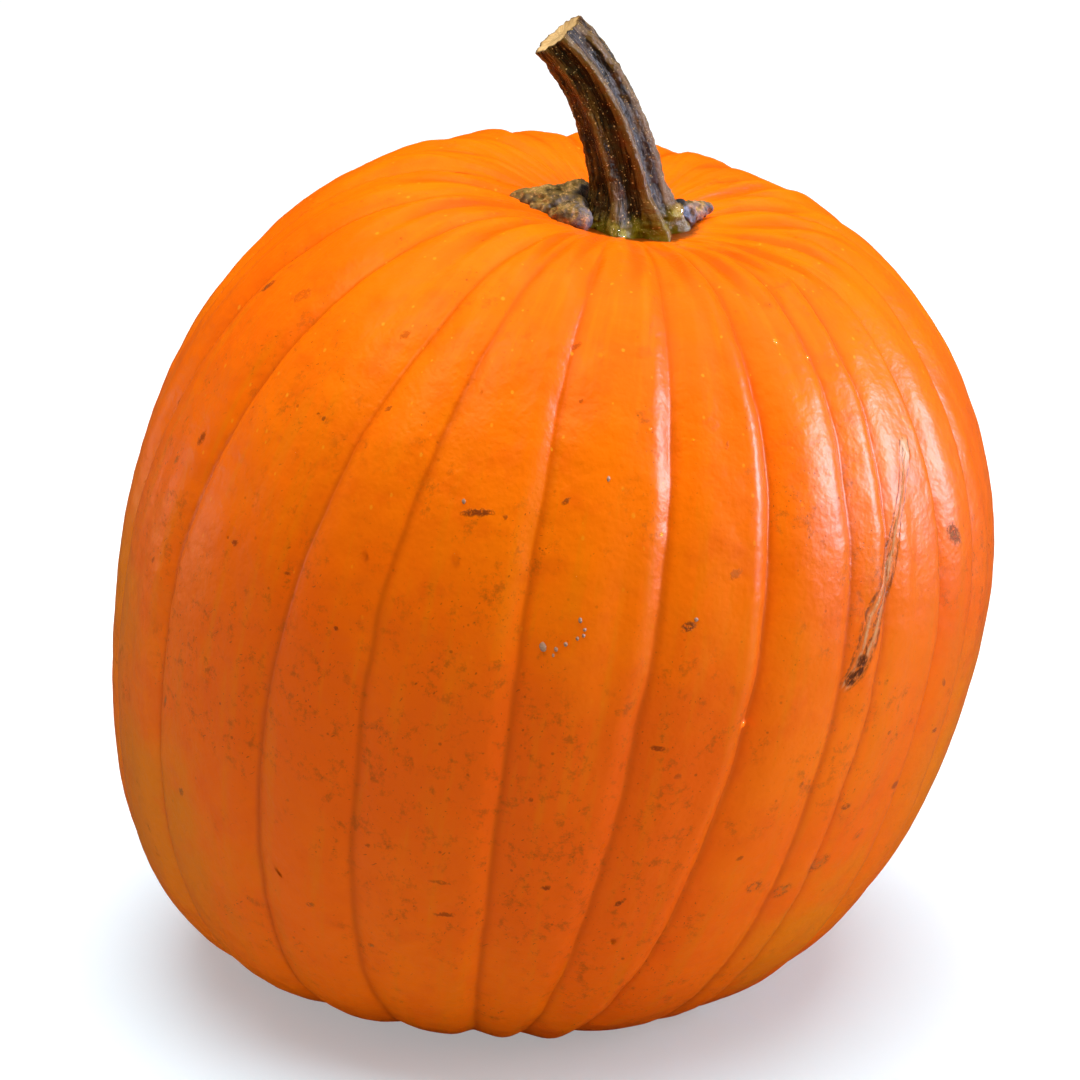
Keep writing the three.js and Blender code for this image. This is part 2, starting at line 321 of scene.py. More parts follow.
def sampleTable(tree, table, column, index):
    attribute = addNode(tree, "GeometryNodeInputNamedAttribute", {"Name": column}, data_type="FLOAT_VECTOR")
    node = addNode(tree, "GeometryNodeSampleIndex", data_type="FLOAT_VECTOR", domain="POINT")
    feed(tree, node.inputs["Geometry"], table)
    feed(tree, node.inputs["Value"], Field(tree, attribute.outputs[0]))
    feed(tree, node.inputs["Index"], index)
    return Field(tree, node.outputs[0])


def skinTree():
    names = ["halfWidth", "height", "widestLevel", "depthToWidth", "shoulderPower", "basePower",
             "baseDepthPower", "leanDegrees", "shear", "hollowDepth", "hollowRadius",
             "dimpleDepth", "dimpleRadius", "restLevel", "crowding", "archShare", "waves", "dents",
             "wander", "patchiness", "crownPleats", "bulgeSpread"]
    inputs = {name: ("NodeSocketFloat", skin[name]) for name in names}
    inputs["columnsPerRib"] = ("NodeSocketInt", skin["columnsPerRib"])
    inputs["rows"] = ("NodeSocketInt", skin["rows"])
    inputs["Material"] = ("NodeSocketMaterial", None)
    tree, given, end = newGeometryTree("pumpkinSkin", inputs)
    ribs = len(skinGrooves)

    columns = given["columnsPerRib"] * float(ribs)
    grid = addNode(tree, "GeometryNodeMeshGrid", {"Size X": 1.0, "Size Y": 1.0})
    feed(tree, grid.inputs["Vertices X"], columns + 1.0)
    feed(tree, grid.inputs["Vertices Y"], given["rows"] + 1.0)
    place = Field(tree, addNode(tree, "GeometryNodeInputPosition").outputs[0])
    across, up, unused = partsOf(place)

    # which rib a column is on, and how far across it
    ribPlace = (across + 0.5) * float(ribs)
    rib = smaller(calculate(tree, "FLOOR", ribPlace), ribs - 1.0)
    even = ribPlace - rib
    share = even - sine(even * fullTurn) * given["crowding"] * (1 / fullTurn)

    # rows crowd together at the edges of the two hollows
    side = up * 2.0
    upper = calculate(tree, "GREATER_THAN", side, 0.0)
    fromPole = (1.0 - absolute(side)) ** mixed(skin["baseRowCrowding"], skin["crownRowCrowding"], upper)
    toPole = math.pi / 2 - fromPole * (math.pi / 2)
    latitude = toPole * mixed(-1.0, 1.0, upper)
    degrees = latitude * (180 / math.pi)

    # a parabola through the crown, middle and base places
    crownAt, middleAt, baseAt = skin["crownAt"], skin["middleAt"], skin["baseAt"]
    at = smaller(larger(degrees, baseAt - 12), crownAt + 8)
    crownWeight = (at - middleAt) * (at - baseAt) * (1 / ((crownAt - middleAt) * (crownAt - baseAt)))
    baseWeight = (at - middleAt) * (at - crownAt) * (1 / ((baseAt - middleAt) * (baseAt - crownAt)))
    weights = vectorOf(tree, crownWeight, 1.0 - crownWeight - baseWeight, baseWeight)

    def tableValue(column, index):
        return sampleTable(tree, given["Geometry"], column, index)

    def weighed(column, index):
        return vectorMath(tree, "DOT_PRODUCT", tableValue(column, index), weights, output=1)

    start = weighed("places", rib)
    stop = weighed("places", rib + 1.0)
    ring = cosine(latitude)
    straight = mixed(start, stop, share) * (math.pi / 180)
    ball = vectorOf(tree, sine(straight) * ring, cosine(straight) * ring * -1.0, sine(latitude))
    straying = (noiseAt(ball, skin["wanderScale"], 2.0) - 0.5) * 2.0 * smoothStep(ring, 0.1, 0.5)
    azimuth = straight + straying * given["wander"] * (math.pi / 180)
    elsewhere = vectorMath(tree, "ADD", ball, (3.1, 0.4, 5.2))
    patchy = 1.0 + (noiseAt(elsewhere, skin["patchScale"], 2.0) - 0.5) * given["patchiness"]
    power = mixed(given["basePower"], given["shoulderPower"], upper)
    plainRadius = given["halfWidth"] * larger(ring, 0.0) ** power
    ribWidth = (stop - start) * (math.pi / 180) * plainRadius

    # the creases on both sides of the rib, one steep and lipped and one gentle
    def crease(index, distance, first):
        firstWidth, secondWidth, lipHeight = partsOf(tableValue("form", index))
        width = smaller(firstWidth if first else secondWidth, ribWidth * 0.3)
        depth = weighed("depths", index) * patchy
        sunk = exponential(distance / width * -1.6) * 0.34 + bell(distance / (width * 1.5)) * 0.66
        if first:
            lip = bell((distance - width * 2.6) / (width * 1.5)) * lipHeight
            return sunk * depth - lip, exponential(distance * -0.8)
        return sunk * depth, exponential(distance * -0.4)

    before, nearBefore = crease(rib, share * ribWidth, False)
    after, nearAfter = crease(rib + 1.0, (1.0 - share) * ribWidth, True)
    arch = (share * 2.0 - 1.0) ** 2.0 * ribWidth * given["archShare"]
    fade = smoothStep(ring, 0.08, 0.4)
    inward = (before + after + arch) * fade
    folded = ring * 0.0
    for foldAzimuth, foldLatitude, halfLength, depth, width in skinFolds:
        perDegree = given["halfWidth"] * (math.pi / 180 / width)
        aside = (azimuth * (180 / math.pi) - foldAzimuth) * ring * perDegree
        folded = folded + bell(aside) * bell((degrees - foldLatitude) / halfLength) * depth
    inward = inward + folded

    swell = 1.0 - inward / given["halfWidth"]
    spread = (given["bulgeSpread"] * (math.pi / 180)) ** 2.0
    sineLatitude = sine(latitude)
    for bulgeAzimuth, bulgeLatitude, size in skinBulges:
        high = math.radians(bulgeLatitude)
        facing = ring * math.cos(high) * cosine(azimuth - math.radians(bulgeAzimuth))
        closeness = facing + sineLatitude * math.sin(high)
        swell = swell + exponential((closeness - 1.0) / spread) * size

    radius = plainRadius * swell
    reach = mixed(given["widestLevel"], given["height"] - given["widestLevel"], upper)
    depthPower = mixed(given["baseDepthPower"], 1.0, upper)
    level = absolute(sineLatitude) ** depthPower * reach * mixed(-1.0, 1.0, upper) * swell
    hollow = bell(radius / given["hollowRadius"]) * given["hollowDepth"] * upper
    dimple = bell(radius / given["dimpleRadius"]) * given["dimpleDepth"] * (1.0 - upper)
    level = level - hollow + dimple
    x = radius * sine(azimuth) + level * given["shear"]
    y = radius * cosine(azimuth) * given["depthToWidth"] * -1.0
    z = level + given["widestLevel"]
    lean = given["leanDegrees"] * (math.pi / 180)
    leaningX = x * cosine(lean) + z * sine(lean)
    leaningZ = z * cosine(lean) - x * sine(lean)
    pressedZ = calculate(tree, "SMOOTH_MAX", leaningZ, given["restLevel"], skin["pressSoftness"])
    body = vectorMath(tree, "SCALE", vectorOf(tree, leaningX, y, pressedZ), mm)
    around = vectorOf(tree, sine(azimuth), cosine(azimuth) * -1.0, latitude)
    shape = storeAttribute(tree, Field(tree, grid.outputs[0]), "around", around, "FLOAT_VECTOR")
    # closeness to the creases and, near the crown, to the folds: the mask for the painted shade that darkens
    # them
    nearCrown = smoothStep(degrees, 45.0, 66.0) * 0.6
    creaseShadeMask = (nearBefore + nearAfter) * fade + folded * nearCrown
    shape = storeAttribute(tree, shape, "groove", creaseShadeMask)
    shape = moveTo(tree, shape, position=body)
    welded = addNode(tree, "GeometryNodeMergeByDistance", {
        "Geometry": shape, "Distance": skin["weldDistance"] * mm})

    # uneven places and the fine pleats that gather at the crown
    position = Field(tree, addNode(tree, "GeometryNodeInputPosition").outputs[0])
    normal = Field(tree, addNode(tree, "GeometryNodeInputNormal").outputs[0])
    stored = addNode(tree, "GeometryNodeInputNamedAttribute", {"Name": "around"}, data_type="FLOAT_VECTOR")
    aroundX, aroundY, stoodLatitude = partsOf(Field(tree, stored.outputs[0]))
    tall = vectorMath(tree, "MULTIPLY", position, (1.0, 1.0, 0.45))
    waves = (noiseAt(tall, skin["waveScale"], 1.5) - 0.5) * given["waves"] * 2.0
    dents = (noiseAt(position, skin["dentScale"], 2.0) - 0.5) * given["dents"] * 2.0
    meridian = vectorOf(tree, aroundX, aroundY, stoodLatitude * 0.25)
    pleats = (noiseAt(meridian, skin["pleatScale"], 2.0) - 0.5) * given["crownPleats"] * 2.0
    pleats = pleats * smoothStep(stoodLatitude, 0.75, 1.25) * (1.0 - smoothStep(stoodLatitude, 1.4, 1.5))
    standing = smoothStep(partsOf(position)[2], given["restLevel"] * mm, (given["restLevel"] + 14.0) * mm)
    lift = (waves + dents + pleats) * standing * mm
    shape = moveTo(tree, Field(tree, welded.outputs[0]), offset=vectorMath(tree, "SCALE", normal, lift))
    smooth = addNode(tree, "GeometryNodeSetShadeSmooth", {"Geometry": shape})
    finishTree(tree, end, Field(tree, smooth.outputs[0]), given["Material"])
    return tree


def buildSkin(material):
    first = skinGrooves[0]
    closing = {**first, "places": tuple(p + 360 for p in first["places"])}
    table = tableObject("grooveTable", skinGrooves + [closing], ["places", "depths", "form"])
    piece = grownMesh("skin", table, skinTree(), {**skin, "Material": material})
    # from the rule's own frame to the part's
    low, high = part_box("fruit")
    points = [v.co for v in piece.data.vertices]
    xs, ys, zs = zip(*points)
    shift = Vector(((low[0] + high[0] - min(xs) - max(xs)) / 2, (low[1] + high[1] - min(ys) - max(ys)) / 2,
                    low[2] - min(zs)))
    piece.data.transform(Matrix.Translation(shift))
    outward = sum((p.normal.dot(p.center - Vector((0, 0, 0.14))) > 0) for p in piece.data.polygons)
    if outward < len(piece.data.polygons) / 2:
        piece.data.flip_normals()
    print("skin: %d faces, shift %s" % (len(piece.data.polygons), tuple(round(s, 5) for s in shift)))
    return piece, shift


class SkinGuide:
    # finds the place on the skin for an azimuth and a latitude
    def __init__(self, piece):
        mesh = piece.data
        around = mesh.attributes["around"].data
        self.points = [v.co.copy() for v in mesh.vertices]
        self.tree = KDTree(len(self.points))
        for index, item in enumerate(around):
            sineAzimuth, backward, latitude = item.vector
            flat = math.cos(latitude)
            self.tree.insert((sineAzimuth * flat, backward * flat, math.sin(latitude)), index)
        self.tree.balance()
        self.surface = BVHTree.FromPolygons(self.points, [tuple(p.vertices) for p in mesh.polygons])

    def spot(self, azimuth, latitude):
        a, b = math.radians(azimuth), math.radians(latitude)
        key = Vector((math.cos(b) * math.sin(a), -math.cos(b) * math.cos(a), math.sin(b)))
        found = self.tree.find_n(key, 4)
        weights = [1 / (distance + 1e-6) for co, index, distance in found]
        near = sum((self.points[f[1]] * w for f, w in zip(found, weights)), Vector()) / sum(weights)
        place, normal, index, distance = self.surface.find_nearest(near)
        return place, normal


stem = {
    "columns": 176,
    "rows": 170,
    "sideShare": 0.86,  # the rest of the rows close the cut face
    "footShare": 0.03,
    "core": 0.77,  # radius at the bottom of a groove, a share of the stem's own
    "twistDegrees": -27.0,
    "fibres": 0.42,
    "knobbles": 1.1,
    "cutRoughness": 0.5,
    "flareFrom": 0.34,
    "flareTo": 0.16,
}
# middle line in the XZ plane from inside the hollow up, with a radius at each point
stemStations = [
    (31.2, 252, 15.5), (31.2, 260, 15.0), (31.0, 267, 14.0), (30.4, 274, 13.0), (29.3, 281, 12.5),
    (27.4, 291, 12.0), (24.3, 301.5, 11.3), (20.2, 311.5, 10.5), (14.8, 320.5, 10.1),
    (8.2, 328.6, 10.4),
]
# each ridge: its angle at the top, how wide and proud it is, and how far its toe spreads at the foot
stemRidges = [
    {"angle": -80, "width": 17, "proud": 0.2, "toe": 2.2},
    {"angle": -36, "width": 17, "proud": 0.21, "toe": 5.6},
    {"angle": 13, "width": 12, "proud": 0.32, "toe": 6.0},
    {"angle": 58, "width": 14, "proud": 0.3, "toe": 4.2},
    {"angle": 108, "width": 17, "proud": 0.22, "toe": 4.6},
    {"angle": 166, "width": 17, "proud": 0.22, "toe": 4.2},
    {"angle": 226, "width": 17, "proud": 0.2, "toe": 4.4},
]


def stemTree():
    names = ["sideShare", "footShare", "core", "twistDegrees", "fibres", "knobbles", "cutRoughness",
             "flareFrom", "flareTo"]
    inputs = {name: ("NodeSocketFloat", stem[name]) for name in names}
    inputs["columns"] = ("NodeSocketInt", stem["columns"])
    inputs["rows"] = ("NodeSocketInt", stem["rows"])
    inputs["Material"] = ("NodeSocketMaterial", None)
    tree, given, end = newGeometryTree("pumpkinStem", inputs)
    grid = addNode(tree, "GeometryNodeMeshGrid", {"Size X": 1.0, "Size Y": 1.0})
    feed(tree, grid.inputs["Vertices X"], given["columns"] + 1.0)
    feed(tree, grid.inputs["Vertices Y"], given["rows"] + 1.0)
    across, up, unused = partsOf(Field(tree, addNode(tree, "GeometryNodeInputPosition").outputs[0]))
    angle = (across + 0.5) * fullTurn
    row = up + 0.5
    along = smaller(row / given["sideShare"], 1.0)
    inCut = larger(row - given["sideShare"], 0.0) / (1.0 - given["sideShare"])
    foot = smaller(row / given["footShare"], 1.0)

    sample = addNode(tree, "GeometryNodeSampleCurve", mode="FACTOR", data_type="FLOAT", use_all_curves=True)
    feed(tree, sample.inputs["Curves"], given["Geometry"])
    feed(tree, sample.inputs["Value"], Field(tree, addNode(tree, "GeometryNodeInputRadius").outputs[0]))
    feed(tree, sample.inputs["Factor"], along)
    radius = Field(tree, sample.outputs["Value"])
    centre = Field(tree, sample.outputs["Position"])
    tangent = Field(tree, sample.outputs["Tangent"])
    tangentX, tangentY, tangentZ = partsOf(tangent)
    outX = vectorOf(tree, tangentZ, 0.0, tangentX * -1.0)

    # how much of a toe there is at this height
    flare = 1.0 - smoothStep(along, given["flareTo"], given["flareFrom"])
    crest = angle * 0.0
    toes = angle * 0.0
    for ridge in stemRidges:
        twist = (1.0 - along) * given["twistDegrees"] * (math.pi / 180)
        twisted = angle - math.radians(ridge["angle"]) + twist
        offset = calculate(tree, "WRAP", twisted, math.pi, -math.pi)
        shape = bell(offset / math.radians(ridge["width"]))
        crest = crest + shape * (ridge["proud"] / 0.2)
        toes = toes + bell(offset / math.radians(ridge["width"] * 1.35)) * ridge["toe"]
    section = vectorOf(tree, sine(angle), cosine(angle) * -1.0, 0.0)
    unbent = vectorOf(tree, sine(angle) * radius, cosine(angle) * radius * -1.0, along * 80.0)
    fine = vectorMath(tree, "MULTIPLY", unbent, (1.0, 1.0, 0.08))
    fibres = (noiseAt(fine, 0.95, 3.0, 0.6) - 0.5) * 2.0 * given["fibres"]
    knobbles = (noiseAt(unbent, 0.3, 3.0, 0.6) - 0.5) * 2.0 * given["knobbles"] * (1.0 + flare * 1.6)
    worn = 1.0 - smoothStep(along, 0.86, 1.0) * 0.45
    reach = radius * (given["core"] + crest * worn * 0.2) + flare * toes + fibres + knobbles
    reach = reach * foot * (1.0 - inCut)
    sineAngle, backward, unused = partsOf(section)
    aside = vectorMath(tree, "SCALE", outX, reach * sineAngle)
    forward = vectorOf(tree, 0.0, reach * backward, 0.0)
    # the cut is rough, torn up a little at its rim
    onSection = vectorMath(tree, "SCALE", section, reach)
    cutNoise = (noiseAt(onSection, 0.35, 4.0, 0.65) - 0.5) * given["cutRoughness"]
    atTop = smoothStep(row, given["sideShare"] - 0.02, given["sideShare"])
    rimTear = (noiseAt(section, 2.4, 3.0, 0.7) - 0.5) * 2.6 * (1.0 - smoothStep(inCut, 0.0, 0.35))
    dish = smoothStep(inCut, 0.0, 0.6) * -0.9
    rise = vectorMath(tree, "SCALE", tangent, atTop * (cutNoise * 3.0 + rimTear + dish))
    place = vectorMath(tree, "ADD", vectorMath(tree, "ADD", centre, aside),
                       vectorMath(tree, "ADD", forward, rise))
    shape = storeAttribute(tree, Field(tree, grid.outputs[0]), "unbent", unbent, "FLOAT_VECTOR")
    shape = storeAttribute(tree, shape, "crest", crest)
    shape = storeAttribute(tree, shape, "along", along)
    shape = storeAttribute(tree, shape, "cut", inCut)
    shape = storeAttribute(tree, shape, "toe", flare)
    shape = moveTo(tree, shape, position=vectorMath(tree, "SCALE", place, mm))
    welded = addNode(tree, "GeometryNodeMergeByDistance", {"Geometry": shape, "Distance": 0.005 * mm})
    smooth = addNode(tree, "GeometryNodeSetShadeSmooth", {"Geometry": Field(tree, welded.outputs[0])})
    finishTree(tree, end, Field(tree, smooth.outputs[0]), given["Material"])
    return tree


def outwardFaces(mesh):
    # the whole closed shape faces out when the volume under its faces is positive
    mesh.calc_loop_triangles()
    volume = sum(Vector(mesh.vertices[t.vertices[0]].co).dot(
        Vector(mesh.vertices[t.vertices[1]].co).cross(mesh.vertices[t.vertices[2]].co))
        for t in mesh.loop_triangles)
    if volume < 0:
        mesh.flip_normals()


def buildStem(material, shift):
    line = bpy.data.curves.new("stemLine", "CURVE")
    line.dimensions = "3D"
    line.resolution_u = 24
    spline = line.splines.new("BEZIER")
    spline.bezier_points.add(len(stemStations) - 1)
    for point, (x, z, radius) in zip(spline.bezier_points, stemStations):
        point.co = (x, 0, z)
        point.radius = radius
        point.handle_left_type = "AUTO"
        point.handle_right_type = "AUTO"
    source = bpy.data.objects.new("stemLine", line)
    bpy.context.scene.collection.objects.link(source)
    piece = grownMesh("stalk", source, stemTree(), {**stem, "Material": material})
    piece.data.transform(Matrix.Translation(shift))
    outwardFaces(piece.data)
    print("stalk: %d faces" % len(piece.data.polygons))
    return piece


# each lump: its place, half-lengths and turn about the upright
scrapLumps = {
    "dried_scrap_left": [
        ((-1.0, -3.6, 275.6), (4.2, 3.0, 2.1), 0),
        ((1.5, -4.6, 275.0), (5.0, 3.8, 2.8), 20),
        ((6.5, -7.0, 274.2), (5.4, 4.4, 3.4), -20),
        ((11.5, -8.4, 273.6), (5.0, 4.4, 3.6), 15),
        ((5.0, -0.5, 275.0), (4.6, 3.2, 2.8), 40),
        ((3.0, -10.4, 273.2), (4.2, 2.6, 2.0), -30),
        ((-4.4, -2.2, 275.9), (2.2, 1.0, 0.8), 8),
        ((-2.6, -6.4, 274.6), (2.4, 1.1, 0.8), -20),
        ((9.0, -13.0, 272.4), (3.2, 2.2, 2.0), 10),
    ],
    "dried_scrap_left_low": [
        ((11.4, -15.6, 272.8), (4.6, 3.6, 3.2), 10),
        ((13.8, -16.6, 272.4), (4.2, 3.6, 3.4), -25),
        ((8.6, -13.8, 272.8), (3.0, 2.4, 2.2), 30),
    ],
    "dried_scrap_back": [
        ((11.0, 9.5, 273.0), (3.6, 2.8, 2.6), 0),
        ((14.6, 10.5, 273.4), (3.4, 2.6, 3.2), 30),
        ((12.4, 6.5, 273.0), (2.8, 2.0, 2.0), -20),
    ],
    "dried_scrap_right": [
        ((48.2, 1.6, 268.6), (3.7, 3.4, 3.6), 0),
        ((51.6, 6.4, 268.0), (3.2, 2.6, 2.6), 0),
        ((54.6, 8.2, 268.2), (2.4, 1.8, 1.7), 35),
        ((57.0, 9.4, 268.4), (1.5, 1.0, 0.9), 30),
    ],
}
scrapLook = {
    "plump": 1.12,
    "fineness": 0.42,
    "threshold": 0.25,
    "folds": 0.9,
    "foldSize": 3.2,
    "grain": 0.16,
    "grainSize": 1.1,
}
scrapPieces = {
    "dried_scrap_left": "leaf_left",
    "dried_scrap_left_low": "leaf_left_low",
    "dried_scrap_back": "leaf_back",
    "dried_scrap_right": "leaf_right",
}


def buildScrap(node, lumps, material, shift):
    blob = bpy.data.metaballs.new(node)
    blob.resolution = scrapLook["fineness"]
    blob.render_resolution = scrapLook["fineness"]
    blob.threshold = scrapLook["threshold"]
    for place, half, turn in lumps:
        element = blob.elements.new(type="ELLIPSOID")
        element.co = place
        element.radius = 1.5
        element.size_x, element.size_y, element.size_z = (side * scrapLook["plump"] for side in half)
        element.rotation = Euler((0, 0, math.radians(turn))).to_quaternion()
    source = bpy.data.objects.new(node + "Blob", blob)
    bpy.context.scene.collection.objects.link(source)
    bpy.context.view_layer.update()
    graph = bpy.context.evaluated_depsgraph_get()
    mesh = bpy.data.meshes.new_from_object(source.evaluated_get(graph), depsgraph=graph)
    bpy.data.objects.remove(source)
    # crumpled folds and a fine grain
    normals = [v.normal.copy() for v in mesh.vertices]
    for vertex, normal in zip(mesh.vertices, normals):
        bent = Vector((vertex.co.x, vertex.co.y * 1.6, vertex.co.z * 0.7)) / scrapLook["foldSize"]
        fold = 1.0 - abs(noise.noise(bent + Vector((7, 3, 1)))) * 2.4
        grain = noise.noise(vertex.co / scrapLook["grainSize"])
        vertex.co += normal * (fold * scrapLook["folds"] + grain * scrapLook["grain"])
    mesh.transform(Matrix.Translation(shift / mm))
    mesh.transform(Matrix.Scale(mm, 4))
    mesh.materials.append(material)
    mesh.shade_smooth()
    piece = bpy.data.objects.new(scrapPieces[node], mesh)
    bpy.context.scene.collection.objects.link(piece)
    outwardFaces(mesh)
    print("%s: %d faces" % (piece.name, len(mesh.polygons)))
    return piece


def newMaterial(name):
    material = bpy.data.materials.new(name)
    material.use_nodes = True
    tree = material.node_tree
    tree.nodes.clear()
    output = tree.nodes.new("ShaderNodeOutputMaterial")
    shader = tree.nodes.new("ShaderNodeBsdfPrincipled")
    tree.links.new(shader.outputs[0], output.inputs[0])
    return material, tree, shader


def objectCoordinates(tree):
    return Field(tree, addNode(tree, "ShaderNodeTexCoord").outputs["Object"])


def attributeOf(tree, name, output="Vector"):
    node = addNode(tree, "ShaderNodeAttribute", attribute_name=name)
    return Field(tree, node.outputs[output])


def blendColours(share, low, high, blendType="MIX"):
    tree = share.tree
    node = addNode(tree, "ShaderNodeMix", data_type="RGBA", blend_type=blendType, clamp_factor=True)
    feed(tree, node.inputs[0], share)
    feed(tree, node.inputs[6], low)
    feed(tree, node.inputs[7], high)
    return Field(tree, node.outputs[2])


def bumpFrom(height, distance, strength=1.0, normal=None):
    node = addNode(height.tree, "ShaderNodeBump", {
        "Height": height, "Strength": strength, "Distance": distance, "Normal": normal})
    return Field(height.tree, node.outputs[0])


def linear(red, green, blue):
    # a colour as it is seen on a screen, 0 to 255, as light
    def one(value):
        value /= 255
        return value / 12.92 if value <= 0.04045 else ((value + 0.055) / 1.055) ** 2.4
    return (one(red), one(green), one(blue), 1.0)


rindLook = {
    "bright": linear(255, 119, 1),
    "deep": linear(250, 106, 1),
    "ripe": linear(240, 95, 1),
    "pale": linear(236, 128, 1),
    # painted shade: the darker, redder colour laid along the creases and crown folds
    "groove": linear(202, 78, 0),
    "freckle": linear(132, 46, 3),
    "smudge": linear(150, 70, 6),
    "fleck": linear(255, 176, 40),
    "corky": linear(176, 118, 60),
    "raw": linear(222, 172, 122),
    "bark": linear(96, 44, 12),
    # painted shade under the stem's toes, with the wet skin there
    "footShadeAndWet": linear(70, 34, 6),
    "roughness": 0.35,
    "specular": 0.15,
    "glossTint": (1.0, 0.68, 0.36, 1.0),
    "broadScale": 13.0,  # sizes of the patterns, larger numbers being finer
    "mottleScale": 70.0,
    "streakScale": 22.0,
    "patchScale": 24.0,
    "smudgeScale": 170.0,
    "raggedScale": 520.0,
    "ripeShare": 0.85,  # how strongly each tone covers the one under it
    "paleShare": 0.9,
    "mottleShare": 0.45,
    "streakShare": 0.3,
    "creaseShadeShare": 0.6,
    "smudgeShare": 0.52,
    "fineBump": 0.3,
    "peelBump": 0.8,
    "waveBump": 1.9,
    "smallDots": {"scale": 640.0, "radius": 0.27, "presence": 0.42},
    "bigDots": {"scale": 230.0, "radius": 0.17, "presence": 0.26},
    "paleDots": {"scale": 330.0, "radius": 0.26, "presence": 0.16},
    "footShadeAndWetFrom": 20.5,  # the dark ring round the stem's foot, painted shade under its toes and the wet skin there, in millimetres from its middle
    "footShadeAndWetTo": 25.0,
    "bumpDepth": 0.5,
    "bumpStrength": 0.8,
}
# stains and small scars in the rind: azimuth, latitude, half-length and half-width in millimetres, turn
# in degrees, how dark the stain is, how clear its outline and how pale its middle
rindMarks = [
    (-15.6, 25.5, 5.2, 1.3, 3, 1.0, 0.0, 0.1), (-11.8, 25.3, 0.9, 0.8, 0, 0.7, 0, 0),
    (-4.6, 28.5, 1.6, 0.9, 40, 0.8, 0, 0.2), (-72, 43, 3.4, 1.4, 62, 0.9, 0, 0.3),
    (-62, 45, 5.0, 2.6, 40, 0.4, 0, 0), (-63.5, 22.5, 2.6, 1.4, 70, 0.8, 0, 0),
    (-67.5, 18, 2.2, 1.2, 60, 0.5, 0, 0.6), (-78.5, 22.5, 1.6, 0.8, 80, 0.7, 0, 0),
    (13.6, 12.3, 2.4, 1.5, 20, 1.0, 0, 0.3), (12.5, -4.5, 2.4, 1.0, -8, 0.9, 0, 0),
    (15.5, -8.5, 1.4, 1.0, 0, 0.5, 0, 0), (2, -25, 1.6, 1.2, 20, 0.9, 0, 0),
    (12.5, -28, 1.8, 0.9, 35, 0.9, 0, 0), (44, -18, 1.8, 1.2, 0, 0.8, 0.2, 0.2),
    (53.5, -17, 1.8, 1.5, 40, 0.7, 0.6, 0.2), (49, -23.5, 2.4, 1.8, 30, 0.3, 1.0, 0.5),
    (32, -27.5, 3.0, 2.0, 20, 0.15, 1.0, 0.4), (38, -29.5, 3.6, 2.4, 35, 0.15, 1.0, 0.5),
    (43.5, -27, 4.6, 2.6, 28, 0.25, 1.0, 0.5), (-8, 50.5, 2.0, 1.0, 60, 0.6, 0, 0),
    (-5.5, 42, 1.0, 0.7, 60, 0.5, 0, 0), (-10.5, -31, 3.6, 1.1, 4, 0.7, 0, 0),
    (-11.5, -25.5, 3.6, 0.9, -6, 0.5, 0, 0), (61, -12, 1.2, 1.4, 60, 0.8, 0, 0),
    (60.5, -5, 0.9, 1.8, 20, 0.6, 0, 0), (-14.5, 1, 2.6, 1.6, 30, 0.3, 0, 0),
    (15, 39.5, 2.6, 2.4, 0, 0.15, 0.35, 0.0), (17.5, 36.5, 1.6, 0.5, 70, 0.4, 0, 0),
    (-58, -13, 2.6, 1.0, 75, 0.5, 0, 0.9), (-53, -24, 1.8, 1.4, 50, 0.55, 0, 0.9),
    (-66, 4, 1.4, 0.8, 60, 0.6, 0, 0.7), (-49, 13, 1.6, 1.1, 20, 0.8, 0, 0),
    (-39, 12, 1.3, 0.8, 0, 0.7, 0, 0), (-30, 7, 0.9, 0.8, 0, 0.9, 0, 0),
    (-42, 32, 1.2, 0.8, 50, 0.7, 0, 0), (-37, 46, 2.2, 1.4, 60, 0.5, 0, 0),
    (-33, 36, 1.5, 1.0, 45, 0.6, 0, 0), (4, 50, 3.4, 2.4, 10, 0.2, 0, 0),
    (24, 33, 1.0, 0.7, 0, 0.6, 0, 0), (19, 19, 2.4, 1.6, 20, 0.4, 0, 0.2),
    (28, -22, 1.4, 0.9, 30, 0.6, 0, 0), (-2, -12, 1.0, 0.8, 0, 0.6, 0, 0),
    (34, -12, 1.3, 0.8, 70, 0.5, 0, 0), (48, -8, 1.0, 0.8, 0, 0.6, 0, 0),
    (-22, -22, 1.2, 0.8, 0, 0.6, 0, 0), (-30, -34, 1.6, 1.0, 20, 0.5, 0, 0.6),
    (-21, -40, 1.4, 0.9, 0, 0.4, 0, 0.7), (60.5, 16.5, 5.2, 2.7, 118, 1.0, 0.6, 0.8),
    (150, 20, 3.4, 1.4, 30, 0.8, 0, 0), (170, -10, 2.6, 1.5, 10, 0.7, 1, 0.4),
    (205, 35, 4.0, 2.0, 50, 0.5, 0, 0), (230, -5, 2.4, 1.4, 20, 0.9, 0, 0),
    (120, 5, 3.0, 1.6, 60, 0.6, 0.8, 0.4), (255, 15, 2.2, 1.2, 30, 0.7, 0, 0),
    (98, 28, 2.0, 1.2, 50, 0.6, 0, 0.3), (185, 8, 1.4, 1.0, 0, 0.8, 0, 0),
    (215, -28, 3.0, 1.6, 20, 0.5, 1, 0.4), (140, -22, 1.6, 1.2, 0, 0.7, 0, 0),
    (110, -30, 2.2, 1.2, 40, 0.6, 0, 0),
]
markLayers = 2  # marks that lie close together are kept in different layers
markMargin = 3.4  # a mark's own coordinates are kept this far past its edge, in millimetres


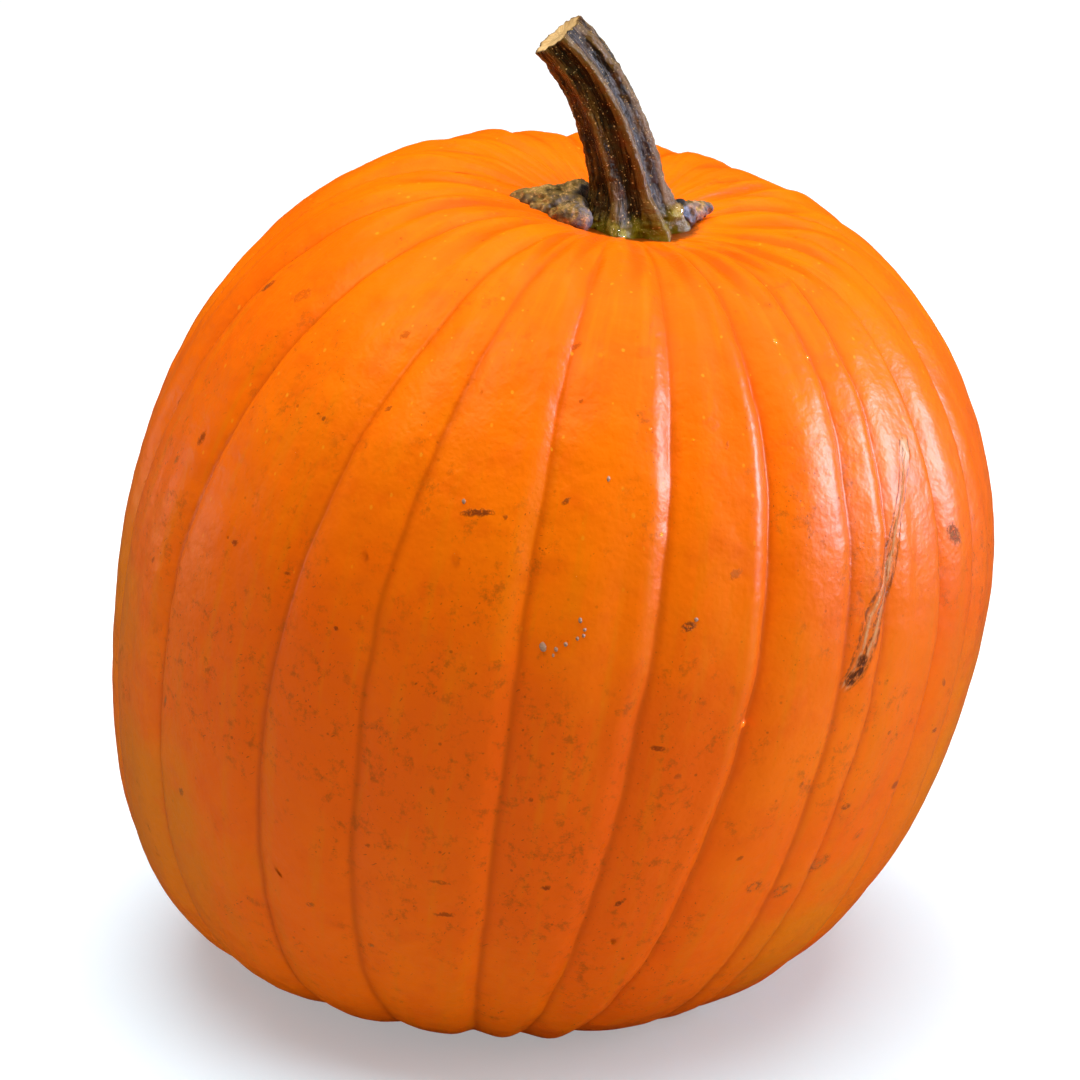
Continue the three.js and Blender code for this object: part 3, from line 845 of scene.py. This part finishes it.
def storeMarks(piece, guide):
    # at the points in and near a mark: how far along it and across it they lie, and the mark's look
    mesh = piece.data
    points = KDTree(len(mesh.vertices))
    for vertex in mesh.vertices:
        points.insert(vertex.co, vertex.index)
    points.balance()
    size = 3 * len(mesh.vertices)
    layers = [([0.0] * size, [0.0] * size, []) for layer in range(markLayers)]
    for azimuth, latitude, halfLength, halfWidth, turn, dark, outline, pale in rindMarks:
        spot, normal = guide.spot(azimuth, latitude)
        sideways = Vector((0, 0, 1)).cross(normal).normalized()
        upward = normal.cross(sideways)
        angle = math.radians(turn)
        along = sideways * math.cos(angle) + upward * math.sin(angle)
        across = normal.cross(along)
        reach = (halfLength + markMargin) * mm
        free = [layer for layer in layers
                if all((spot - other).length > reach + far for other, far in layer[2])]
        if not free:
            print("no room for the mark at", azimuth, latitude)
            continue
        place, look, taken = free[0]
        taken.append((spot, reach))
        for co, index, distance in points.find_range(spot, reach):
            offset = co - spot
            far = (offset.dot(along) / mm, offset.dot(across) / mm)
            if math.hypot(far[0] / (halfLength + markMargin), far[1] / (halfWidth + markMargin)) < 1:
                place[3 * index:3 * index + 3] = far[0] / halfLength, far[1] / halfWidth, 1.0
                look[3 * index:3 * index + 3] = dark, outline, pale
    for number, (place, look, taken) in enumerate(layers):
        for name, values in (("markPlace", place), ("markLook", look)):
            attribute = mesh.attributes.new(name + str(number), "FLOAT_VECTOR", "POINT")
            attribute.data.foreach_set("vector", values)


# broad ripe places, redder than the rest: azimuth, latitude and radius
ripePlaces = [
    (-36, -2, 80), (-14, -10, 85), (6, -26, 75), (14, -6, 48), (196, -6, 95), (150, -35, 60),
]
palePlaces = [
    (-84, -5, 60), (-66, -34, 66), (78, -20, 70), (50, -42, 45), (110, 30, 50), (250, -30, 60),
]


def placesMask(tree, place, centres, guide):
    # soft round places on the skin, joined
    total = None
    for azimuth, latitude, radius in centres:
        spot, normal = guide.spot(azimuth, latitude)
        distance = vectorMath(tree, "DISTANCE", place, tuple(spot), output=1)
        one = 1.0 - smoothStep(distance, radius * 0.2 * mm, radius * mm)
        total = one if total is None else larger(total, one)
    return total


def marksMask(tree, number, ragged):
    # the stain, the outline and the pale middle of the marks in one layer
    along, across, present = partsOf(attributeOf(tree, "markPlace%d" % number))
    dark, outline, pale = partsOf(attributeOf(tree, "markLook%d" % number))
    distance = calculate(tree, "SQRT", along * along + across * across) + ragged * 2.6
    present = smoothStep(present, 0.93, 0.99)
    inside = 1.0 - smoothStep(distance, 0.6, 1.1)
    edge = bell((distance - 0.9) / 0.26) * smoothStep(ragged, -0.05, 0.09)
    return (larger(inside * dark * smoothStep(ragged, -0.2, 0.0), edge * outline * 0.7) * present,
            inside * pale * smoothStep(ragged, -0.04, 0.12) * present)


# the long corky scar: azimuth, latitude and half-width in millimetres down its length
longScar = [
    (52.4, 33.8, 1.6), (51.2, 31.2, 2.6), (48.8, 26.6, 2.0), (46.4, 22.2, 1.8), (45.0, 18.0, 2.6),
    (43.2, 14.0, 3.4), (41.2, 9.6, 4.0), (40.2, 6.0, 3.6), (39.2, 2.6, 3.2), (37.6, 0.2, 1.6),
]


def storeScar(piece, guide):
    # how far down the scar a point lies, how far across it, and whether it's near
    mesh = piece.data
    line = [guide.spot(azimuth, latitude) + (width,) for azimuth, latitude, width in longScar]
    points = KDTree(len(mesh.vertices))
    for vertex in mesh.vertices:
        points.insert(vertex.co, vertex.index)
    points.balance()
    near = {}
    for number, (start, stop) in enumerate(zip(line, line[1:])):
        way = stop[0] - start[0]
        across = start[1].cross(way).normalized()
        for co, index, distance in points.find_range((start[0] + stop[0]) / 2, way.length / 2 + 7 * mm):
            share = (co - start[0]).dot(way) / way.length_squared
            held = min(max(share, 0.0), 1.0)
            gapTo = (co - start[0] - way * held).length
            if index in near and near[index][0] <= gapTo:
                continue
            width = (start[2] + (stop[2] - start[2]) * held) * mm
            end = share if number in (0, len(line) - 2) else held
            near[index] = (gapTo, (number + end) / (len(line) - 1), (co - start[0]).dot(across) / width)
    values = [0.0, 9.0, 0.0] * len(mesh.vertices)
    for index, (gapTo, along, across) in near.items():
        values[3 * index:3 * index + 3] = along, across, 1.0
    mesh.attributes.new("scarPlace", "FLOAT_VECTOR", "POINT").data.foreach_set("vector", values)


def scarMasks(tree):
    # the scarred skin, its pale raised lines and its rough dark end
    along, across, near = partsOf(attributeOf(tree, "scarPlace"))
    drawn = vectorOf(tree, across, along * 9.0, 0.0)
    wander = (noiseAt(drawn, 1.1, 3.0, 0.6) - 0.5) * 1.0
    torn = noiseAt(drawn, 3.0, 3.0, 0.7) - 0.5
    ends = smoothStep(along, 0.0, 0.05) * (1.0 - smoothStep(along, 0.95, 1.0)) * smoothStep(near, 0.93, 0.99)
    inside = (1.0 - smoothStep(absolute(across + torn * 0.6), 0.75, 1.15)) * ends
    split = 0.42 * smoothStep(along, 0.4, 0.6)
    first = bell((across + wander - split) / 0.2)
    second = bell((across + wander * 0.8 + split) / 0.17)
    broken = smoothStep(torn, -0.2, 0.02)
    tip = 1.0 - smoothStep(along, 0.08, 0.2)
    ridges = larger(larger(first, second) * broken, tip) * inside
    lowerEnd = smoothStep(along, 0.78, 0.84) * (1.0 - smoothStep(along, 0.93, 1.0))
    flap = bell((across + wander * 1.2 - 0.1) / 0.75) * lowerEnd
    bark = smoothStep(flap, 0.3, 0.7) * inside * smoothStep(torn, -0.2, 0.04)
    edges = bell((absolute(across + torn * 0.5) - 0.9) / 0.2) * ends * smoothStep(torn, -0.12, 0.1)
    beside = bell((across + wander + 0.32 - split) / 0.16) * inside * smoothStep(torn, -0.05, 0.1)
    return inside, ridges * (1.0 - bark), larger(bark, larger(edges * 0.75, beside * 0.9))


def dotsGroup():
    # scattered round dots, of which a share is kept
    tree = bpy.data.node_groups.new("scatteredDots", "ShaderNodeTree")
    tree.interface.new_socket("Place", in_out="INPUT", socket_type="NodeSocketVector")
    for label in ("Scale", "Radius", "Presence"):
        tree.interface.new_socket(label, in_out="INPUT", socket_type="NodeSocketFloat")
    tree.interface.new_socket("Mask", in_out="OUTPUT", socket_type="NodeSocketFloat")
    start = tree.nodes.new("NodeGroupInput")
    end = tree.nodes.new("NodeGroupOutput")
    place, scale, radius, presence = [Field(tree, start.outputs[label])
                                      for label in ("Place", "Scale", "Radius", "Presence")]
    cell = addNode(tree, "ShaderNodeTexVoronoi", {"Vector": place, "Scale": scale, "Randomness": 1.0})
    chance, largeness, unused = partsOf(Field(tree, cell.outputs["Color"]))
    size = mixed(0.4, 1.0, largeness) * radius
    dot = 1.0 - smoothStep(Field(tree, cell.outputs["Distance"]), size * 0.5, size)
    kept = dot * calculate(tree, "LESS_THAN", chance, presence)
    tree.links.new(kept.socket, end.inputs[0])
    return tree


scatteredDots = dotsGroup()


def dotsOf(place, scale, radius, presence):
    node = addNode(place.tree, "ShaderNodeGroup", {
        "Place": place, "Scale": scale, "Radius": radius, "Presence": presence}, node_tree=scatteredDots)
    return Field(place.tree, node.outputs["Mask"])


def paintRind(tree, shader, guide, stemFoot):
    place = objectCoordinates(tree)
    wobble = noiseAt(place, 40.0, 3.0, 0.6) - 0.5
    loose = vectorMath(tree, "ADD", place, vectorOf(tree, wobble * 0.05, wobble * -0.05, wobble * 0.05))
    around = attributeOf(tree, "around")
    # closeness to the creases and crown folds, the mask for the painted shade in them
    groove = attributeOf(tree, "groove", "Fac")

    broad = noiseAt(place, rindLook["broadScale"], 3.0, 0.55)
    mottle = noiseAt(place, rindLook["mottleScale"], 4.0, 0.6)
    drawnOut = vectorMath(tree, "MULTIPLY", around, (1.0, 1.0, 0.12))
    streak = noiseAt(drawnOut, rindLook["streakScale"], 3.0, 0.6)
    colour = blendColours(smoothStep(broad, 0.36, 0.66), rindLook["bright"], rindLook["deep"])
    ripe = placesMask(tree, loose, ripePlaces, guide)
    colour = blendColours(ripe * rindLook["ripeShare"], colour, rindLook["ripe"])
    pale = placesMask(tree, loose, palePlaces, guide)
    colour = blendColours(pale * rindLook["paleShare"], colour, rindLook["pale"])
    # mottling and streaks in the rind's own tones, then painted shade darkening the creases and crown folds
    for mask, share, tone in ((smoothStep(mottle, 0.48, 0.72), "mottleShare", "ripe"),
                              (smoothStep(streak, 0.48, 0.7), "streakShare", "pale"),
                              (smoothStep(groove, 0.15, 1.0), "creaseShadeShare", "groove")):
        colour = blendColours(mask * rindLook[share], colour, rindLook[tone])

    # freckles and smudges stand in patches
    patch = noiseAt(place, rindLook["patchScale"], 4.0, 0.65)
    freckled = smoothStep(patch + ripe * 0.16, 0.46, 0.62)
    smallDots = dotsOf(loose, **rindLook["smallDots"])
    bigDots = dotsOf(vectorMath(tree, "ADD", place, (0.4, 0.1, 0.2)), **rindLook["bigDots"])
    freckles = larger(smallDots * mixed(0.12, 0.62, freckled), bigDots * mixed(0.22, 0.5, freckled))
    smudge = smoothStep(noiseAt(place, rindLook["smudgeScale"], 5.0, 0.78), 0.515, 0.7) * freckled
    colour = blendColours(smudge * rindLook["smudgeShare"], colour, rindLook["smudge"])
    colour = blendColours(freckles, colour, rindLook["freckle"])
    upward = smoothStep(partsOf(place)[2], 0.13, 0.24)
    tall = vectorMath(tree, "MULTIPLY", place, (1.0, 1.0, 0.6))
    flecks = dotsOf(vectorMath(tree, "ADD", tall, (0.2, 0.7, 0.1)), **rindLook["paleDots"]) * upward
    colour = blendColours(flecks * 0.45, colour, rindLook["fleck"])
    ragged = noiseAt(place, rindLook["raggedScale"], 3.0, 0.7) - 0.5
    firstDark, firstPale = marksMask(tree, 0, ragged)
    secondDark, secondPale = marksMask(tree, 1, ragged)
    marks = larger(firstDark, secondDark)
    stain = blendColours(smoothStep(mottle, 0.4, 0.7), rindLook["freckle"], rindLook["bark"])
    colour = blendColours(marks * 0.9, colour, stain)
    colour = blendColours(larger(firstPale, secondPale), colour, rindLook["corky"])
    scar, ridge, bark = scarMasks(tree)
    colour = blendColours(scar * 0.22, colour, rindLook["corky"])
    colour = blendColours(ridge * 0.75, colour, rindLook["raw"])
    colour = blendColours(bark, colour, rindLook["bark"])
    # a dark ring round the stem's foot: painted shade under its toes, and the wet skin there
    fromStem = vectorMath(tree, "DISTANCE", place, tuple(stemFoot), output=1) + ragged * 8 * mm
    footShadeAndWet = 1.0 - smoothStep(fromStem, rindLook["footShadeAndWetFrom"] * mm, rindLook["footShadeAndWetTo"] * mm)
    colour = blendColours(footShadeAndWet * 0.85, colour, rindLook["footShadeAndWet"])
    feed(tree, shader.inputs["Base Color"], colour)

    rough = mixed(rindLook["roughness"] - 0.06, rindLook["roughness"] + 0.1, mottle)
    rough = rough + marks * 0.35 + smudge * 0.15
    feed(tree, shader.inputs["Roughness"], rough)
    shader.inputs["Specular IOR Level"].default_value = rindLook["specular"]
    shader.inputs["Specular Tint"].default_value = rindLook["glossTint"]
    fine = noiseAt(place, 620.0, 2.0, 0.5)
    peel = noiseAt(place, 210.0, 2.0, 0.5)
    height = fine * rindLook["fineBump"] + peel * rindLook["peelBump"] - freckles * 0.12 + marks * 0.3
    height = height + noiseAt(place, 60.0, 3.0) * rindLook["waveBump"]
    height = height + ridge * 0.9 - scar * 0.3 + bark * ragged * 1.5
    normal = bumpFrom(height, rindLook["bumpDepth"] * mm, rindLook["bumpStrength"])
    feed(tree, shader.inputs["Normal"], normal)


stemLook = {
    "dark": linear(24, 19, 7),
    "brown": linear(112, 78, 20),
    "red": linear(98, 56, 24),
    # a painted highlight, laid along the ridge crests
    "sheen": linear(150, 112, 46),
    "foot": linear(126, 112, 10),
    "fleck": linear(214, 178, 108),
    "cutFace": linear(226, 190, 132),
    "cutGrain": linear(196, 150, 88),
    "cutRim": linear(110, 76, 38),
    "roughness": 0.27,
    "cutRoughness": 0.85,
    "specular": 0.34,
    "glossTint": (1.0, 0.8, 0.52, 1.0),
    "fineDots": {"scale": 1.15, "radius": 0.3, "presence": 0.75},
    "bumpDepth": 0.7,
    "bumpStrength": 0.9,
}


def stemMaterial():
    material, tree, shader = newMaterial("stem")
    unbent = attributeOf(tree, "unbent")
    crest = attributeOf(tree, "crest", "Fac")
    cut = attributeOf(tree, "cut", "Fac")
    toe = attributeOf(tree, "toe", "Fac")
    stretched = vectorMath(tree, "MULTIPLY", unbent, (1.0, 1.0, 0.1))
    grain = noiseAt(stretched, 0.8, 4.0, 0.65)
    blotch = noiseAt(unbent, 0.16, 3.0, 0.6)
    colour = blendColours(smoothStep(grain, 0.38, 0.72), stemLook["dark"], stemLook["brown"])
    colour = blendColours(smoothStep(blotch, 0.55, 0.7) * 0.7, colour, stemLook["red"])
    # painted shade: darker down the grooves between the stem's ridges
    colour = blendColours((1.0 - smoothStep(crest, 0.1, 0.6)) * 0.8, colour, stemLook["dark"])
    # painted sheen: a pale highlight laid along the ridge crests, broken up by the grain
    paintedSheen = smoothStep(crest + (grain - 0.5) * 0.9, 0.75, 1.15)
    colour = blendColours(paintedSheen * 0.45, colour, stemLook["sheen"])
    green = smoothStep(toe + (grain - 0.5) * 0.9, 0.4, 0.95)
    colour = blendColours(green * 0.75, colour, stemLook["foot"])
    cell = addNode(tree, "ShaderNodeTexVoronoi", {"Vector": unbent, "Scale": 0.55, "Randomness": 1.0})
    dots = 1.0 - smoothStep(Field(tree, cell.outputs["Distance"]), 0.08, 0.2)
    chosen = smoothStep(partsOf(Field(tree, cell.outputs["Color"]))[0], 0.6, 0.7)
    fineDots = dotsOf(unbent, **stemLook["fineDots"])
    colour = blendColours(larger(dots * chosen, fineDots * 0.85), colour, stemLook["fleck"])
    radial = noiseAt(vectorMath(tree, "MULTIPLY", unbent, (1.0, 1.0, 0.0)), 0.5, 3.0)
    face = blendColours(smoothStep(radial, 0.3, 0.75), stemLook["cutFace"], stemLook["cutGrain"])
    onCut = smoothStep(cut, 0.02, 0.1)
    rim = smoothStep(cut, 0.0, 0.02) * (1.0 - smoothStep(cut, 0.06, 0.16))
    colour = blendColours(onCut, colour, face)
    colour = blendColours(rim * 0.75, colour, stemLook["cutRim"])
    feed(tree, shader.inputs["Base Color"], colour)
    wet = smoothStep(toe, 0.8, 1.0)
    rough = mixed(stemLook["roughness"], stemLook["cutRoughness"], onCut) + (grain - 0.5) * 0.3 - wet * 0.2
    feed(tree, shader.inputs["Roughness"], rough)
    shader.inputs["Specular IOR Level"].default_value = stemLook["specular"]
    shader.inputs["Specular Tint"].default_value = stemLook["glossTint"]
    height = grain * 0.8 + noiseAt(unbent, 1.3, 4.0, 0.65) * 0.9
    normal = bumpFrom(height, stemLook["bumpDepth"] * mm, stemLook["bumpStrength"])
    feed(tree, shader.inputs["Normal"], normal)
    return material


leafLook = {
    "dark": linear(72, 54, 20),
    "olive": linear(146, 114, 44),
    "tan": linear(206, 156, 92),
    "wet": linear(34, 37, 42),
    "wetFrom": 18.5,  # millimetres from the middle of the stem's foot
    "wetTo": 21.5,
    "bumpDepth": 0.6,
}


def leafMaterial(stemFoot):
    material, tree, shader = newMaterial("driedLeaf")
    place = objectCoordinates(tree)
    fromStem = vectorMath(tree, "DISTANCE", place, tuple(stemFoot), output=1)
    wet = 1.0 - smoothStep(fromStem, leafLook["wetFrom"] * mm, leafLook["wetTo"] * mm)
    broad = noiseAt(place, 230.0, 3.0, 0.6)
    fine = noiseAt(place, 900.0, 4.0, 0.65)
    colour = blendColours(smoothStep(broad, 0.35, 0.65), leafLook["dark"], leafLook["olive"])
    colour = blendColours(smoothStep(fine + (broad - 0.5) * 0.6, 0.5, 0.75), colour, leafLook["tan"])
    colour = blendColours(wet * 0.88, colour, leafLook["wet"])
    feed(tree, shader.inputs["Base Color"], colour)
    feed(tree, shader.inputs["Roughness"], mixed(0.5, 0.9, fine) - wet * 0.4)
    feed(tree, shader.inputs["Normal"], bumpFrom(fine, leafLook["bumpDepth"] * mm))
    return material


# water drops and grit: azimuth and latitude, then half-length, half-width and height in millimetres
waterDrops = [
    (-17, 19, 1.9, 1.3, 0.7), (-28.5, 17, 1.5, 1.0, 0.6), (23.5, -2.5, 1.6, 1.2, 0.8),
    (8, -18.5, 1.4, 1.1, 0.7), (13.5, -35, 1.3, 1.0, 0.6), (8.5, 24.5, 0.7, 0.6, 0.4),
    (5.5, 38.5, 0.6, 0.5, 0.3), (-3.2, 49, 1.0, 0.6, 0.4), (12.5, 37.4, 0.6, 0.5, 0.3),
    (-20.5, 41, 0.8, 0.5, 0.4), (26, 3, 0.8, 0.6, 0.4), (-35, -30, 2.0, 0.45, 0.35),
    (-1.5, 18.5, 0.5, 0.5, 0.3), (31, 52, 1.2, 0.8, 0.5), (37, 49, 1.0, 0.6, 0.4),
    (-44, 27, 0.9, 0.6, 0.4), (160, 25, 1.4, 1.1, 0.6), (204, 5, 1.6, 1.2, 0.7),
    (235, 30, 1.3, 0.9, 0.5), (118, -12, 1.5, 1.1, 0.6),
]
gritGrains = [
    (-4.0, 9.0, 1.5, 1.1, 1.0), (-2.4, 9.1, 0.7, 0.6, 0.6), (-2.7, 8.3, 0.55, 0.4, 0.4),
    (-1.4, 9.8, 0.75, 0.6, 0.6), (-0.1, 10.7, 0.6, 0.5, 0.5), (0.5, 11.2, 0.55, 0.5, 0.5),
    (0.6, 11.8, 0.55, 0.5, 0.5), (-0.1, 12.9, 0.9, 0.55, 0.5), (-17.8, 26.4, 0.8, 0.6, 0.5),
    (0.6, 31.6, 0.9, 0.5, 0.5), (14.3, 13.3, 0.7, 0.6, 0.5), (-60.5, -12, 0.8, 0.5, 0.3),
    (190, 18, 0.8, 0.6, 0.5), (192, 17, 0.6, 0.5, 0.4), (130, 30, 0.7, 0.5, 0.4),
]
# drops that lie in the wet gap round the stem's foot: points in the rule's own frame, and sizes
footDrops = [
    ((23.8, -25.0, 275.0), 3.0, 1.9, 1.6), ((33.6, -26.0, 274.0), 2.8, 1.8, 1.5),
    ((50.5, -9.0, 275.6), 2.6, 1.8, 1.5),
]


def scatterTree(name, fineness):
    # small rounded lumps, one on each point of a table, turned to the surface's normal there
    inputs = {"unevenness": ("NodeSocketFloat", 0.0), "Material": ("NodeSocketMaterial", None)}
    tree, given, end = newGeometryTree(name, inputs)
    normal = addNode(tree, "GeometryNodeInputNamedAttribute", {"Name": "facing"}, data_type="FLOAT_VECTOR")
    size = addNode(tree, "GeometryNodeInputNamedAttribute", {"Name": "size"}, data_type="FLOAT_VECTOR")
    lump = addNode(tree, "GeometryNodeMeshIcoSphere", {"Radius": 1.0, "Subdivisions": fineness})
    turned = addNode(tree, "FunctionNodeAlignRotationToVector",
                     {"Vector": Field(tree, normal.outputs[0])}, axis="Z")
    placed = addNode(tree, "GeometryNodeInstanceOnPoints", {
        "Points": given["Geometry"], "Instance": Field(tree, lump.outputs[0])})
    feed(tree, placed.inputs["Rotation"], Field(tree, turned.outputs[0]))
    feed(tree, placed.inputs["Scale"], Field(tree, size.outputs[0]))
    loose = Field(tree, addNode(tree, "GeometryNodeRealizeInstances", {
        "Geometry": Field(tree, placed.outputs[0])}).outputs[0])
    position = Field(tree, addNode(tree, "GeometryNodeInputPosition").outputs[0])
    outward = Field(tree, addNode(tree, "GeometryNodeInputNormal").outputs[0])
    swell = (noiseAt(position, 1400.0, 2.0) - 0.5) * given["unevenness"] * mm
    shape = moveTo(tree, loose, offset=vectorMath(tree, "SCALE", outward, swell))
    smooth = addNode(tree, "GeometryNodeSetShadeSmooth", {"Geometry": shape})
    finishTree(tree, end, Field(tree, smooth.outputs[0]), given["Material"])
    return tree


def buildScatter(name, spots, fineness, unevenness, material):
    rows = [{"facing": tuple(normal), "size": tuple(half * mm for half in size)}
            for place, normal, size in spots]
    table = tableObject(name + "Table", rows, ["facing", "size"])
    for vertex, (place, normal, size) in zip(table.data.vertices, spots):
        vertex.co = place
    values = {"unevenness": unevenness, "Material": material}
    piece = grownMesh(name, table, scatterTree(name + "Scatter", fineness), values)
    outwardFaces(piece.data)
    print("%s: %d, %d faces" % (name, len(spots), len(piece.data.polygons)))
    return piece


def spotsOn(guide, listed):
    return [guide.spot(azimuth, latitude) + ((across, along, up),)
            for azimuth, latitude, along, across, up in listed]


waterLook = {"Base Color": (1, 1, 1, 1), "Roughness": 0.03, "IOR": 1.33, "Transmission Weight": 1.0}
gritLook = {"dark": linear(84, 52, 32), "light": linear(214, 168, 132), "roughness": 0.7}


def waterMaterial():
    material, tree, shader = newMaterial("water")
    for name, value in waterLook.items():
        shader.inputs[name].default_value = value
    return material


def gritMaterial():
    material, tree, shader = newMaterial("grit")
    grain = noiseAt(objectCoordinates(tree), 1500.0, 3.0, 0.6)
    feed(tree, shader.inputs["Base Color"], blendColours(grain, gritLook["dark"], gritLook["light"]))
    shader.inputs["Roughness"].default_value = gritLook["roughness"]
    return material


stage = {
    "floorSide": 12.0,
    "pale": (0.8, 0.8, 0.8, 1),
    "cool": (0.6, 0.78, 0.88, 1),  # evens out the fruit's orange light close to it
    "coolFrom": 0.11,
    "coolTo": 0.27,
    "glow": 0.3,
    "bounce": 0.68,
    "shine": 0.04,
    "worldLight": 0.2,
}


def buildStage():
    mesh = bpy.data.meshes.new("floor")
    half = stage["floorSide"] / 2
    corners = [(-half, -half, 0), (half, -half, 0), (half, half, 0), (-half, half, 0)]
    mesh.from_pydata(corners, [], [(0, 1, 2, 3)])
    floor = bpy.data.objects.new("floor", mesh)
    bpy.context.scene.collection.objects.link(floor)
    material = bpy.data.materials.new("paleFloor")
    material.use_nodes = True
    tree = material.node_tree
    tree.nodes.clear()
    output = tree.nodes.new("ShaderNodeOutputMaterial")
    fromMiddle = vectorMath(tree, "LENGTH", objectCoordinates(tree), None, output=1)
    near = 1.0 - smoothStep(fromMiddle, stage["coolFrom"], stage["coolTo"])
    seen = addNode(tree, "ShaderNodeBsdfDiffuse", {
        "Color": blendColours(near, stage["pale"], stage["cool"])})
    glow = addNode(tree, "ShaderNodeEmission", {"Strength": stage["glow"]})
    both = addNode(tree, "ShaderNodeAddShader")
    tree.links.new(seen.outputs[0], both.inputs[0])
    tree.links.new(glow.outputs[0], both.inputs[1])
    path = addNode(tree, "ShaderNodeLightPath")
    shine = Field(tree, path.outputs["Is Glossy Ray"])
    grey = mixed(stage["bounce"], stage["shine"], shine)
    bounce = addNode(tree, "ShaderNodeBsdfDiffuse")
    feed(tree, bounce.inputs["Color"], vectorOf(tree, grey, grey, grey))
    choice = addNode(tree, "ShaderNodeMixShader")
    tree.links.new(path.outputs["Is Camera Ray"], choice.inputs[0])
    tree.links.new(bounce.outputs[0], choice.inputs[1])
    tree.links.new(both.outputs[0], choice.inputs[2])
    tree.links.new(choice.outputs[0], output.inputs[0])
    mesh.materials.append(material)


# soft lights round the fruit: where each is, its sides and power, and what it is seen by
softboxes = {
    "skyLight": {"place": (0.02, 0.1, 1.7), "sides": (1.9, 1.9), "power": 50, "seenBy": "matt"},
    "rightFill": {"place": (1.5, -0.4, 0.7), "sides": (0.9, 0.9), "power": 9.5, "seenBy": "matt",
                  "shadow": False},
    "rightWindow": {"place": (1.45, -0.12, 0.6), "sides": (0.45, 0.75), "power": 135, "seenBy": "gloss",
                    "colour": (0.5, 0.6, 1.0)},
    "skySheen": {"place": (-0.55, -0.35, 1.35), "sides": (0.5, 0.5), "power": 6.0, "seenBy": "gloss"},
    "leftSheen": {"place": (-1.5, 0.6, 0.14), "sides": (0.5, 0.2), "power": 1.3, "seenBy": "gloss"},
}
lightTarget = (0, 0, 0.14)


def addSoftbox(name, place, sides, power, seenBy, colour=(1, 1, 1), shadow=True):
    data = bpy.data.lights.new(name, "AREA")
    data.shape = "RECTANGLE"
    data.size, data.size_y = sides
    data.energy = power
    data.color = colour
    data.use_shadow = shadow
    lamp = bpy.data.objects.new(name, data)
    lamp.visible_diffuse = seenBy == "matt"
    lamp.visible_glossy = seenBy == "gloss"
    lamp.location = place
    lamp.rotation_euler = (Vector(lightTarget) - Vector(place)).to_track_quat("-Z", "Y").to_euler()
    bpy.context.scene.collection.objects.link(lamp)


def buildLights():
    for name, box in softboxes.items():
        addSoftbox(name, **box)
    world = bpy.data.worlds.new("studio")
    world.use_nodes = True
    background = world.node_tree.nodes["Background"]
    background.inputs[0].default_value = (1, 1, 1, 1)
    background.inputs[1].default_value = stage["worldLight"]
    world.cycles_visibility.glossy = False
    bpy.context.scene.world = world


cameraView = {
    "elevation": 21.19,
    "distance": 1396.6,
    "lens": 140.0,
    "sensorWidth": 36,
    "aim": (2.47, 0.0, 156.26),  # in the skin rule's own frame
}


def buildCamera(shift):
    data = bpy.data.cameras.new("camera")
    data.sensor_width = cameraView["sensorWidth"]
    data.lens = cameraView["lens"]
    camera = bpy.data.objects.new("camera", data)
    aim = Vector(cameraView["aim"]) * mm + shift
    tilt = math.radians(cameraView["elevation"])
    back = Vector((0, -math.cos(tilt), math.sin(tilt)))
    camera.location = aim + back * cameraView["distance"] * mm
    camera.rotation_euler = (-back).to_track_quat("-Z", "Y").to_euler()
    bpy.context.scene.collection.objects.link(camera)
    bpy.context.scene.camera = camera


rind, rindTree, rindShader = newMaterial("rind")
skinPiece, ruleShift = buildSkin(rind)
guide = SkinGuide(skinPiece)
storeMarks(skinPiece, guide)
storeScar(skinPiece, guide)
stemFoot = Vector((stemStations[2][0], 0, stemStations[2][1])) * mm + ruleShift
paintRind(rindTree, rindShader, guide, stemFoot)
print("rind painted")
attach(skinPiece, "root")
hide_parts("fruit")
stalk = buildStem(stemMaterial(), ruleShift)
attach(stalk, "root")
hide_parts("stem")
leaf = leafMaterial(stemFoot)
for node, lumps in scrapLumps.items():
    scrap = buildScrap(node, lumps, leaf, ruleShift)
    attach(scrap, "root")
    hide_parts(node)
stalkFaces = [tuple(p.vertices) for p in stalk.data.polygons]
wetStem = BVHTree.FromPolygons([v.co for v in stalk.data.vertices], stalkFaces)
drops = spotsOn(guide, waterDrops)
for point, along, across, up in footDrops:
    place, normal, index, distance = wetStem.find_nearest(Vector(point) * mm + ruleShift)
    drops.append((place, normal, (across, along, up)))
for piece in (buildScatter("water_drops", drops, 4, 0.0, waterMaterial()),
              buildScatter("grit", spotsOn(guide, gritGrains), 3, 0.5, gritMaterial())):
    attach(piece, "root")
buildStage()
buildLights()
buildCamera(ruleShift)
print("floor, lights and camera placed")
bpy.context.scene.view_settings.view_transform = "Standard"
